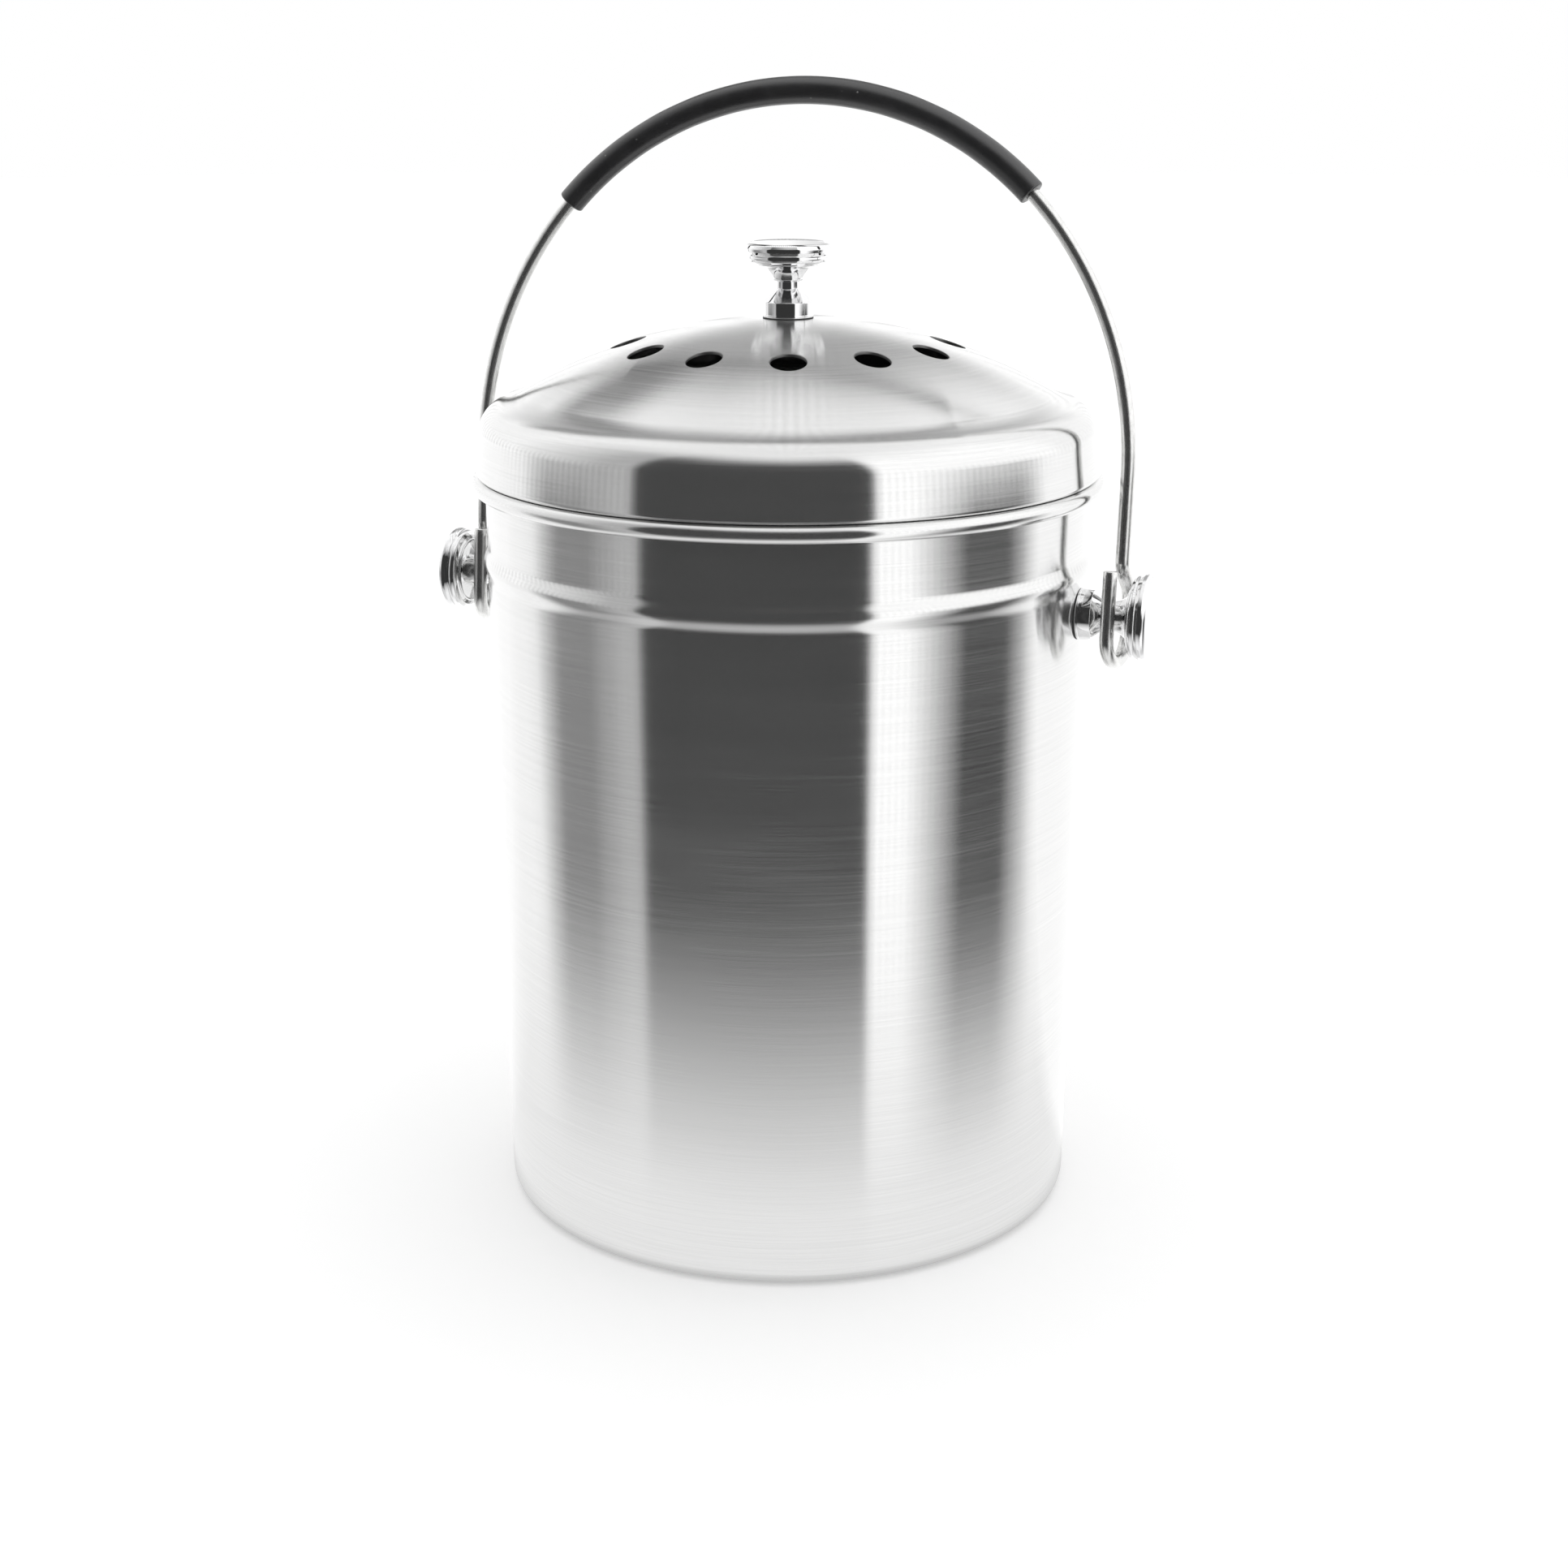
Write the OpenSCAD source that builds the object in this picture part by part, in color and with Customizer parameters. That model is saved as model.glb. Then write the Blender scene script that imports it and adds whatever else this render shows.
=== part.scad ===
// Stainless compost caddy: a straight-sided pail with a rolled rim, a vented dome lid
// that lifts off, a charcoal filter in the lid, and a wire bail hooked on two side knobs.
// +Z is up. The origin is the centre of the base. The side knobs lie on the X axis.

/* [Pail] */
// Height of the pail to the top of its rolled rim
pail_h = 218.2; // [170:0.1:280]
// Outside radius of the wall above the stiffening bead
wall_r = 87.4; // [70:0.1:110]
// How much smaller the wall's radius is at the base
wall_taper = 1.8; // [0:0.1:5]
// Thickness of the stainless sheet of pail and lid
sheet_t = 0.7; // [0.5:0.05:1.2]
// Outside radius of the turn from base to wall
base_corner_r = 4; // [2.5:0.1:8]
// Width of the flat ring that the pail stands on
base_ring_w = 5; // [3:0.1:12]
// Height of the raised panel inside that ring
base_rise = 1.6; // [0.8:0.1:3]
// Outside diameter of the curl that ends the rim
rim_d = 4.8; // [4:0.1:7]
// How far round the curl is rolled, in degrees
rim_roll = 300; // [200:5:300]
// Distance of the stiffening bead's crest below the rim
bead_drop = 25; // [18:0.1:32]
// Height of the bead
bead_h = 9.5; // [5:0.1:10]
// How far the bead stands out of the wall
bead_out = 1.1; // [0.5:0.05:1.8]

/* [Lid] */
// How far the lid's side stands outside the pail's wall
lid_out = 2; // [1.2:0.1:3]
// Height of the lid's upright side, from its seat to the shoulder
lid_side_h = 11.2; // [8:0.1:16]
// Radius of the shoulder
shoulder_r = 9.5; // [6:0.1:10]
// Height of the dome's top above the shoulder's top
dome_h = 22.7; // [18:0.1:30]
// How far the dome's own curve passes below the shoulder's top
dome_dip = 0.35; // [0.2:0.05:1]
// Radius of the reverse curve between shoulder and dome
blend_r = 26; // [20:1:40]
// Inside radius of the turned-under edge that rests on the rim
edge_r = 0.5; // [0.3:0.05:1]
// Radius of the fold from that edge into the skirt
fold_r = 0.8; // [0.5:0.05:1]
// How far the skirt reaches down into the mouth
skirt_h = 12; // [8:0.5:15]
// Gap between skirt and wall
skirt_gap = 0.5; // [0.3:0.05:0.8]
// Gap between the lid's edge and the rim
seat_gap = 0.1; // [0.05:0.01:0.3]

/* [Vents] */
// Number of vent holes
vent_count = 12; // [6:1:16]
// Diameter of a vent hole
vent_d = 10; // [6:0.1:12]
// Radius of the ring of vent holes
vent_ring_r = 45.7; // [30:0.1:60]
// Turn of the ring of holes from the knobs' axis, in degrees
vent_turn = 19; // [0:1:29]

/* [Knobs] */
// Diameter of the knob's head
knob_d = 25.4; // [20:0.1:30]
// Length of the knob
knob_h = 20.4; // [20:0.1:22]
// Diameter of the collar that stands on the sheet
collar_d = 14.5; // [12:0.1:18]
// Length of the collar
collar_h = 5; // [3:0.1:5.5]
// Diameter of the neck
neck_d = 6.8; // [6.4:0.1:7.4]
// Height of the neck's lower end
neck_z = 8.7; // [8:0.1:9]
// Length of the neck
neck_h = 2.2; // [1.5:0.1:2.5]
// Radius of the curve that flares from the neck to the head
flare_r = 14.3; // [10:0.1:20]
// Diameter of the flare where it meets the head
flare_d = 18.6; // [16:0.1:20]
// Diameter of the head's lower edge
head_foot_d = 21.4; // [20:0.1:22]
// Thickness of the head
head_t = 4.6; // [4:0.1:5]
// Height of the bevel round the head's flat face
head_bevel = 1; // [0.5:0.1:1.5]
// Distance of the side knobs' axis below the rim
pivot_drop = 36.7; // [32:0.1:60]

/* [Knob fasteners] */
// Diameter of the screws
screw_d = 4; // [3:0.1:4.2]
// Length of the screws' shank
screw_len = 12; // [8:0.1:14]
// Diameter of the pan heads
head_d = 8; // [7:0.1:9]
// Height of the pan heads
head_h = 2.6; // [2:0.1:3.5]
// Diameter of the steel washers
washer_d = 11; // [10:0.1:13]
// Thickness of the steel washers
washer_t = 0.8; // [0.5:0.05:1.5]
// Thickness of the outer seals under the knobs
seal_t = 0.6; // [0.5:0.05:1.2]
// Thickness of the rubber seals inside the wall
inner_seal_t = 1.4; // [1:0.1:2]
// Diameter of the holes in the sheet
hole_d = 4.6; // [4.4:0.1:5]
// Gap all round between fixed pieces that touch
fit_gap = 0.05; // [0.02:0.01:0.1]

/* [Bail] */
// Diameter of the wire
wire_d = 4; // [3:0.1:4.2]
// Height of the straight legs above the knobs' axis
leg_h = 39.5; // [30:0.1:60]
// How far the legs stand outside the middle of the knobs' necks
leg_out = 1; // [0:0.1:1.5]
// Radius of the arch at its sides
side_arch_r = 108; // [100:1:120]
// Part of the quarter turn made at the sides, in degrees
side_arch_turn = 40; // [25:1:42]
// Lean of the standing bail towards the back, in degrees
bail_lean = 6.5; // [0:0.1:10]
// Radius of the bends that set the hook back from the leg
jog_r = 6; // [5:0.1:7]
// Angle of those bends
jog_turn = 50; // [40:1:60]
// Height of the lower bend's end above the knobs' axis
jog_z = 3.5; // [2:0.1:5]
// Distance of the hook's rear strand behind the knobs' axis
hook_back = 8.5; // [8.2:0.1:9.5]
// Distance of the hook's front strand before the knobs' axis
hook_front = 6.3; // [6:0.1:7.5]
// How far the rear strand stands outside the middle of the neck
hook_back_out = 1.9; // [1.5:0.1:2]
// How far the front strand stands inside the middle of the neck
hook_front_in = 1; // [0.8:0.1:1.1]
// Depth of the hook's round bottom below the axis, to the wire's centre
hook_drop = 13; // [12:0.1:16]
// Height of the hook's cut end above the axis
hook_tip_z = 13.2; // [8:0.1:16]

/* [Grip] */
// Outside diameter of the rubber sleeve
grip_d = 7.8; // [6:0.1:10]
// Part of the upper arch that the sleeve covers
grip_share = 0.932; // [0.6:0.001:0.94]
// How far the sleeve sits off the middle, towards the left knob
grip_shift = 3.6; // [0:0.1:4]
// Gap between sleeve and wire
grip_gap = 0.05; // [0.02:0.01:0.1]

/* [Filter] */
// Gap between the filter's holder and the lid's skirt
holder_gap = 0.3; // [0.2:0.05:0.5]
// Thickness of the holder's ring wall
holder_wall = 1.5; // [1:0.1:2.5]
// Height of the ring wall above its flange
holder_h = 8; // [6:0.1:11]
// Thickness of the holder's flange, spokes and hub
holder_t = 1.6; // [1:0.1:2.5]
// Width of the holder's flange
flange_w = 7; // [5:0.1:12]
// Number of spokes
spoke_count = 6; // [3:1:10]
// Width of a spoke
spoke_w = 4; // [2.5:0.1:6]
// Radius of the ring halfway along the spokes
mid_ring_r = 45; // [30:0.5:60]
// Outside radius of the hub
hub_r = 14; // [10:0.5:20]
// Radius of the finger hole in the hub
finger_r = 9; // [8:0.5:9.5]
// Thickness of the charcoal pad
pad_t = 7; // [4:0.1:8]
// Gap between pad and ring wall
pad_gap = 0.4; // [0.2:0.1:1]

/* [Hidden] */
$fn = 96;
arc_step = 9;
wire_sides = 16;
bend_sag = 0.06;
STEEL = "gainsboro";
CHROME = "silver";
RUBBER = [0.12, 0.12, 0.13];
PLASTIC = [0.16, 0.16, 0.17];
CHARCOAL = [0.2, 0.2, 0.2];

// Pail
wall_foot_r = wall_r - wall_taper;
bead_z = pail_h - bead_drop;
wall_top_z = bead_z - bead_h / 2;
rim_c = [wall_r - sheet_t + rim_d / 2, pail_h - rim_d / 2];
mouth_r = wall_r - sheet_t;
pivot_z = pail_h - pivot_drop;
pivot_wall_r = wall_radius(pivot_z);

// Lid
lid_r = wall_r + lid_out;
seat_z = pail_h + seat_gap;
shoulder_c = [lid_r - shoulder_r, seat_z + lid_side_h];
lid_top_z = shoulder_c[1] + shoulder_r + dome_h;
dome_r = (pow(dome_h + dome_dip, 2) + pow(shoulder_c[0], 2)) / (2 * (dome_h + dome_dip));
dome_c = [0, lid_top_z - dome_r];
blend_c = tangent_centre(dome_c, dome_r + blend_r, shoulder_c, shoulder_r + blend_r);
skirt_r = mouth_r - skirt_gap;
skirt_z = seat_z - skirt_h;

// Knobs: distances along each knob from its foot
head_z = knob_h - head_t;
flare_z = neck_z + neck_h;
tap_d = screw_d + 2 * fit_gap;
tap_h = screw_len - washer_t - sheet_t - seal_t + 1.5;
knob_foot_x = pivot_wall_r + seal_t;
wall_seal_x = pivot_wall_r - sheet_t - inner_seal_t;
side_washer_x = wall_seal_x - fit_gap - washer_t;
lid_knob_z = lid_top_z + seal_t;
lid_washer_z = dome_z(washer_d / 2, sheet_t) - fit_gap - washer_t;

// Bail
neck_mid_x = knob_foot_x + neck_z + neck_h / 2;
leg_x = neck_mid_x + leg_out;
back_x = neck_mid_x + hook_back_out;
front_x = neck_mid_x - hook_front_in;
top_arch_turn = 90 - side_arch_turn;
top_arch_r = side_arch_r - (side_arch_r - leg_x) / cos(side_arch_turn);
arch_c_z = leg_h + (side_arch_r - top_arch_r) * sin(side_arch_turn);
jog_d = norm([back_x - leg_x, hook_back]);
jog_run = (jog_d - 2 * jog_r * (1 - cos(jog_turn))) / sin(jog_turn);
jog_h = 2 * jog_r * sin(jog_turn) + jog_run * cos(jog_turn);
hook_w = norm([back_x - front_x, hook_back + hook_front]);
hook_c_z = hook_w / 2 - hook_drop;
grip_turn = grip_share * 2 * top_arch_turn;
grip_shift_turn = grip_shift / top_arch_r * 180 / PI;
jog_roll = atan2(hook_back, leg_x - back_x);
hook_roll = atan2(-hook_back - hook_front, back_x - front_x);

// Filter
holder_r = skirt_r - sheet_t - holder_gap;
flange_r = skirt_r;
flange_top_z = skirt_z - fit_gap;
holder_z = flange_top_z - holder_t;
pad_r = holder_r - holder_wall - pad_gap;

// Outside radius of the tapered wall at height z
function wall_radius(z) =
    wall_foot_r + wall_taper * (z - base_corner_r) / (wall_top_z - base_corner_r);

// Points of an arc about c from angle a0 to angle a1
function arc(c, r, a0, a1) =
    let (n = ceil(abs(a1 - a0) / arc_step))
    [for (i = [0:n]) let (a = a0 + (a1 - a0) * i / n) c + r * [cos(a), sin(a)]];

// Centre of a circle that touches two others from outside: ra from a and rb from b,
// on the side nearer the axis
function tangent_centre(a, ra, b, rb) =
    let (
        d = norm(b - a),
        u = (b - a) / d,
        along = (ra * ra - rb * rb + d * d) / (2 * d),
        off = sqrt(ra * ra - along * along)
    )
    a + along * u + off * [-u[1], u[0]];

// Angle of the direction from a to b
function heading(a, b) = atan2(b[1] - a[1], b[0] - a[0]);

// Height of the dome at distance r from the axis, e below its outer face
function dome_z(r, e) = dome_c[1] + sqrt(pow(dome_r - e, 2) - r * r);

function flip(points) = [for (i = [len(points) - 1:-1:0]) points[i]];
function rest(points) = [for (i = [1:len(points) - 1]) points[i]];

// Side of the pail at depth e below its outer face, from the base's centre to the bead.
// The bead is one wave of a raised cosine.
function pail_line(e) =
    let (
        ring_r = wall_foot_r - base_corner_r,
        panel_r = ring_r - base_ring_w - base_rise + e * tan(22.5)
    )
    concat(
        [[0, base_rise + e], [panel_r, base_rise + e], [panel_r + base_rise, e]],
        arc([ring_r, base_corner_r], base_corner_r - e, -90, 0),
        [
            for (i = [0:12]) let (s = i / 12)
            [wall_r - e + bead_out * (1 - cos(360 * s)) / 2, wall_top_z + bead_h * s]
        ]
    );

// Curl of the rim at distance r from its centre
function rim_line(r) = arc(rim_c, r, 180, 180 - rim_roll);

// Top of the lid at depth e below its outer face: dome, reverse curve and shoulder,
// each meeting the next at a common tangent
function lid_line(e) =
    let (
        a_dome = heading(dome_c, blend_c),
        a_shoulder = heading(shoulder_c, blend_c)
    )
    concat(
        [for (i = [0:12]) let (a = 90 + (a_dome - 90) * i / 12) dome_c + (dome_r - e) * [cos(a), sin(a)]],
        rest(arc(blend_c, blend_r + e, a_dome + 180, a_shoulder + 180)),
        rest(arc(shoulder_c, shoulder_r - e, a_shoulder, 0))
    );

// Lower edge of the lid: turned under, then folded down into the skirt. The edge and the
// fold have radii a and b about their own centres.
function lid_edge_line(a, b) =
    concat(
        arc([lid_r - sheet_t - edge_r, seat_z + sheet_t + edge_r], a, 0, -90),
        arc([skirt_r + fold_r, seat_z - fold_r], b, 90, 180)
    );

// Half outline of a knob, with its foot at zero
function knob_line() =
    let (
        a = [neck_d / 2, flare_z],
        b = [flare_d / 2, head_z],
        half = norm(b - a) / 2,
        out = sqrt(flare_r * flare_r - half * half),
        c = (a + b) / 2 + out * [b[1] - a[1], a[0] - b[0]] / (2 * half),
        r = collar_d / 2,
        head_r = knob_d / 2
    )
    concat(
        [[0, 0], [r - 0.3, 0], [r, 0.3], [r, collar_h], [r - 0.3, collar_h + 0.3], [neck_d / 2, neck_z]],
        arc(c, flare_r, heading(c, a), heading(c, b)),
        [[head_foot_d / 2, head_z + 0.6], [head_r - 0.6, head_z + 2.2], [head_r, knob_h - head_bevel]],
        [[head_r - 0.5, knob_h - head_bevel / 2], [head_r - 1.4, knob_h], [0, knob_h]]
    );

// Puts a piece on the axis of the right or left knob, its foot outwards at distance x
module on_side(side, x)
    rotate([0, 0, side == "left" ? 180 : 0]) translate([x, 0, pivot_z]) rotate([0, 90, 0]) children();

// The pail up to its bead as a solid body, e below its outer face
module pail_solid(e)
    rotate_extrude($fn = 360) polygon(concat(pail_line(e), [[0, wall_top_z + bead_h]]));

// Puts a piece from the bail's own frame, upright on the knobs' axis, at its lean
module on_bail() translate([0, 0, pivot_z]) rotate([-bail_lean, 0, 0]) children();

// Base, tapered wall, bead and curled rim of the pail, from one sheet
module pail_body() color(STEEL)
    difference() {
        rotate_extrude() polygon(concat(
            pail_line(0),
            rim_line(rim_d / 2 - sheet_t),
            flip(rim_line(rim_d / 2)),
            flip(pail_line(sheet_t))
        ));
        for (side = ["left", "right"]) on_side(side, pivot_wall_r - 4) cylinder(d = hole_d, h = 8);
    }

// Knob turned from bar, tapped from its foot
module knob() color(CHROME)
    difference() {
        rotate_extrude() polygon(knob_line());
        translate([0, 0, -1]) cylinder(d = tap_d, h = tap_h + 1);
    }

// Pan-head screw, head below and shank upwards from zero
module screw() color(STEEL)
    difference() {
        union() {
            rotate_extrude() polygon([
                [0, 0], [head_d / 2, 0], [head_d / 2, -head_h * 0.45],
                [head_d * 0.4, -head_h * 0.85], [head_d * 0.25, -head_h], [0, -head_h]
            ]);
            cylinder(d = screw_d, h = screw_len);
        }
        for (a = [0, 90]) rotate([0, 0, a])
            translate([-head_d * 0.28, -0.5, -head_h - 1]) cube([head_d * 0.56, 1, head_h / 2 + 1]);
    }

module washer(d, t) difference() {
    cylinder(d = d, h = t);
    translate([0, 0, -1]) cylinder(d = hole_d, h = t + 2);
}

// Seal under a side knob, hollowed to sit on the wall
module side_knob_seal(side) color(RUBBER)
    difference() {
        on_side(side, pivot_wall_r - 2) washer(collar_d, seal_t + 2 - fit_gap);
        pail_solid(-fit_gap);
    }

// Rubber seal inside the wall, crowned to fit its curve
module wall_seal(side) color(RUBBER)
    intersection() {
        on_side(side, wall_seal_x) washer(washer_d, inner_seal_t + 1);
        pail_solid(sheet_t + fit_gap);
    }

module side_screw(side) on_side(side, side_washer_x - fit_gap) screw();
module side_washer(side) color(STEEL) on_side(side, side_washer_x) washer(washer_d, washer_t);

// Dome, shoulder, side, turned-under edge and skirt of the lid, from one sheet
module lid_shell() color(STEEL)
    difference() {
        rotate_extrude() polygon(concat(
            lid_line(0),
            lid_edge_line(edge_r + sheet_t, fold_r),
            [[skirt_r, skirt_z], [skirt_r - sheet_t, skirt_z]],
            flip(lid_edge_line(edge_r, fold_r + sheet_t)),
            flip(lid_line(sheet_t))
        ));
        for (i = [0:vent_count - 1]) rotate([0, 0, vent_turn + i * 360 / vent_count])
            translate([vent_ring_r, 0, shoulder_c[1]]) cylinder(d = vent_d, h = lid_top_z - shoulder_c[1]);
        translate([0, 0, lid_top_z - 5]) cylinder(d = hole_d, h = 10);
    }

module lid_knob() translate([0, 0, lid_knob_z]) knob();

// Seal under the lid's knob, hollowed to sit on the dome
module lid_knob_seal() color(RUBBER)
    rotate_extrude() polygon(concat(
        [for (i = [0:4]) let (r = (hole_d + (collar_d - hole_d) * i / 4) / 2) [r, dome_z(r, 0) + fit_gap]],
        [[collar_d / 2, lid_knob_z - fit_gap], [hole_d / 2, lid_knob_z - fit_gap]]
    ));

module lid_knob_screw() translate([0, 0, lid_washer_z - fit_gap]) screw();
module lid_knob_washer() color(STEEL) translate([0, 0, lid_washer_z]) washer(washer_d, washer_t);

// Spoked ring that is pressed into the skirt and carries the charcoal pad
module filter_holder() color(PLASTIC)
    translate([0, 0, holder_z]) {
        rotate_extrude() polygon([
            [flange_r - flange_w, 0], [flange_r, 0], [flange_r, holder_t], [holder_r, holder_t],
            [holder_r, holder_t + holder_h], [holder_r - holder_wall, holder_t + holder_h],
            [holder_r - holder_wall, holder_t], [flange_r - flange_w, holder_t]
        ]);
        difference() {
            union() {
                cylinder(r = hub_r, h = holder_t);
                for (i = [0:spoke_count - 1]) rotate([0, 0, i * 360 / spoke_count])
                    translate([0, -spoke_w / 2, 0]) cube([flange_r - flange_w + 1, spoke_w, holder_t]);
            }
            translate([0, 0, -1]) cylinder(r = finger_r, h = holder_t + 2);
        }
        difference() {
            cylinder(r = mid_ring_r + spoke_w / 2, h = holder_t);
            translate([0, 0, -1]) cylinder(r = mid_ring_r - spoke_w / 2, h = holder_t + 2);
        }
    }

module filter_pad() color(CHARCOAL)
    translate([0, 0, flange_top_z + fit_gap])
        rotate_extrude() polygon([
            [0, 0], [pad_r - 1, 0], [pad_r, 1], [pad_r, pad_t - 1], [pad_r - 1, pad_t], [0, pad_t]
        ]);

// Vector v turned by angle a about the unit vector k
function turned(v, k, a) = v * cos(a) + cross(k, v) * sin(a) + k * (k * v) * (1 - cos(a));

// Sections of the wire after each of its steps, as [centre, side, side, direction]. A step
// of one number is a straight run, and one of three is a bend: its radius, its turn, and
// the side that it turns towards as an angle between the section's own two sides.
function sections(steps, at, i = 0) =
    i == len(steps) ? [at] :
    len(steps[i]) == 1 ? concat([at], sections(steps, [at[0] + steps[i][0] * at[3], at[1], at[2], at[3]], i + 1)) :
    let (
        r = steps[i][0],
        a = steps[i][1],
        towards = cos(steps[i][2]) * at[1] + sin(steps[i][2]) * at[2],
        k = cross(at[3], towards),
        c = at[0] + r * towards,
        n = ceil(a / (2 * acos(1 - bend_sag / r))),
        bent = [
            for (j = [0:n]) let (b = a * j / n)
            [c + turned(at[0] - c, k, b), turned(at[1], k, b), turned(at[2], k, b), turned(at[3], k, b)]
        ]
    )
    concat([for (j = [0:n - 1]) bent[j]], sections(steps, bent[n], i + 1));

function mirrored(v) = [-v[0], v[1], v[2]];

// Round bar through the sections, closed at both ends
module bar(path, d, sides) {
    m = len(path);
    points = [
        for (f = path) for (j = [0:sides - 1])
        f[0] + d / 2 * (cos(360 * j / sides) * f[1] + sin(360 * j / sides) * f[2])
    ];
    walls = [
        for (i = [0:m - 2]) for (j = [0:sides - 1])
        let (k = (j + 1) % sides, a = i * sides, b = a + sides)
        each [[a + j, b + k, a + k], [a + j, b + j, b + k]]
    ];
    ends = [[for (j = [0:sides - 1]) j], [for (j = [sides - 1:-1:0]) (m - 1) * sides + j]];
    polyhedron(points, concat(walls, ends));
}

// Wire bail: from the middle of the arch each half runs down its leg, through the jog that
// sets the hook back, and round the hook that passes under the knob's neck and comes up
// in front of it
module bail_wire() color(CHROME) {
    half = sections(
        [
            [top_arch_r, top_arch_turn, 0],
            [side_arch_r, side_arch_turn, 0],
            [leg_h - jog_z - jog_h],
            [jog_r, jog_turn, jog_roll],
            [jog_run],
            [jog_r, jog_turn, jog_roll + 180],
            [jog_z - hook_c_z],
            [hook_w / 2, 180, hook_roll],
            [hook_tip_z - hook_c_z]
        ],
        [[0, 0, arch_c_z + top_arch_r], [0, 0, -1], [0, 1, 0], [1, 0, 0]]
    );
    left = [for (f = flip(rest(half))) [mirrored(f[0]), mirrored(f[1]), mirrored(f[2])]];
    on_bail() bar(concat(left, half), wire_d, wire_sides);
}

module grip_sleeve() color(RUBBER)
    on_bail() translate([0, 0, arch_c_z]) rotate([90, 0, 0])
        rotate([0, 0, 90 + grip_shift_turn - grip_turn / 2])
        rotate_extrude(angle = grip_turn) translate([top_arch_r, 0])
        difference() {
            circle(d = grip_d);
            circle(d = wire_d + 2 * grip_gap);
        }

pail_body();
on_side("left", knob_foot_x) knob();  // left_knob
side_knob_seal("left");  // left_knob_seal
side_screw("left");  // left_knob_screw
side_washer("left");  // left_knob_washer
wall_seal("left");  // left_wall_seal
on_side("right", knob_foot_x) knob();  // right_knob
side_knob_seal("right");  // right_knob_seal
side_screw("right");  // right_knob_screw
side_washer("right");  // right_knob_washer
wall_seal("right");  // right_wall_seal
lid_shell();
lid_knob();
lid_knob_seal();
lid_knob_screw();
lid_knob_washer();
filter_holder();
filter_pad();
bail_wire();
grip_sleeve();
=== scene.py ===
"""Looks of the compost caddy: steel skins, turned knobs, wire bail, rubber sleeve, felt pad and stage."""

import math

import bmesh
import bpy
import numpy as np
from mathutils import Matrix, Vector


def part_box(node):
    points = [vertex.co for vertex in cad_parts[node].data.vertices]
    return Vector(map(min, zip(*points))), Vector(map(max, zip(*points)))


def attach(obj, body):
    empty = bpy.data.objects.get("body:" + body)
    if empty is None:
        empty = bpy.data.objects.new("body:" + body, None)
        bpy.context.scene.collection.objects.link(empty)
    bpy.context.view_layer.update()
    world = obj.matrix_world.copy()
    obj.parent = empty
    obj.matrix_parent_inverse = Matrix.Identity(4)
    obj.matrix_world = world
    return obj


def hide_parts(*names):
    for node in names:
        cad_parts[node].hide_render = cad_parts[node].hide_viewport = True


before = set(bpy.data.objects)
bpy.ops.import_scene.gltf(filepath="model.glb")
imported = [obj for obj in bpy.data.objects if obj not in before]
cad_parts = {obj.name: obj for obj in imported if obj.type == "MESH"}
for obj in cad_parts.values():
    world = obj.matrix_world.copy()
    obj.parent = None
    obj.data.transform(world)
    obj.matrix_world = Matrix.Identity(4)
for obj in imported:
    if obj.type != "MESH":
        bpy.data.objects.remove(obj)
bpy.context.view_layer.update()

bl_info = {
    "name": "Compost caddy",
    "version": (1, 0, 0),
    "blender": (4, 5, 0),
    "location": "View3D > Sidebar > Caddy",
    "description": "Builds the visible skins, finishes and stage of a stainless compost caddy",
    "category": "Object",
}

MM = 0.001
# Steps round the pail and lid, and half width of the band of the dome that the vents lie in
AROUND = 384
VENT_BAND = 9 * MM
# Points along the grip's straight run
GRIP_STEPS = 160


# Properties
def length(name, description, default):
    """A length in metres, given in millimetres."""
    return bpy.props.FloatProperty(
        name=name, description=description, default=default * MM, min=0, unit="LENGTH", precision=5
    )


def angle(name, description, default):
    """An angle, given in degrees."""
    return bpy.props.FloatProperty(
        name=name, description=description, default=math.radians(default), unit="ROTATION"
    )


def factor(name, description, default, top=1.0):
    """A share between 0 and top."""
    return bpy.props.FloatProperty(name=name, description=description, default=default, min=0, max=top)


def colour(name, description, default):
    """A colour, linear red, green and blue."""
    return bpy.props.FloatVectorProperty(
        name=name, description=description, default=default, size=3, min=0, max=1, subtype="COLOR"
    )


class PailSizes(bpy.types.PropertyGroup):
    """Sizes of the pail's one sheet."""

    height: length("Height", "To the top of the rolled rim", 218.2)
    wall_radius: length("Wall radius", "Outside, above the bead", 87.4)
    taper: length("Taper", "How much smaller the wall's radius is at the base", 1.8)
    sheet: length("Sheet", "Thickness of the stainless sheet", 0.7)
    corner: length("Base corner", "Outside radius of the turn from base to wall", 4)
    ring_width: length("Ring width", "Flat ring that the pail stands on", 5)
    rise: length("Base rise", "Height of the raised base panel", 1.6)
    rim: length("Rim diameter", "Outside diameter of the curl", 4.8)
    rim_roll: angle("Rim roll", "How far round the curl is rolled", 300)
    bead_drop: length("Bead drop", "Bead's crest below the rim", 25)
    bead_height: length("Bead height", "Height of the bead", 9.5)
    bead_out: length("Bead depth", "How far the bead stands out", 1.1)
    pivot_drop: length("Pivot drop", "Knobs' axis below the rim", 36.7)


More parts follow.
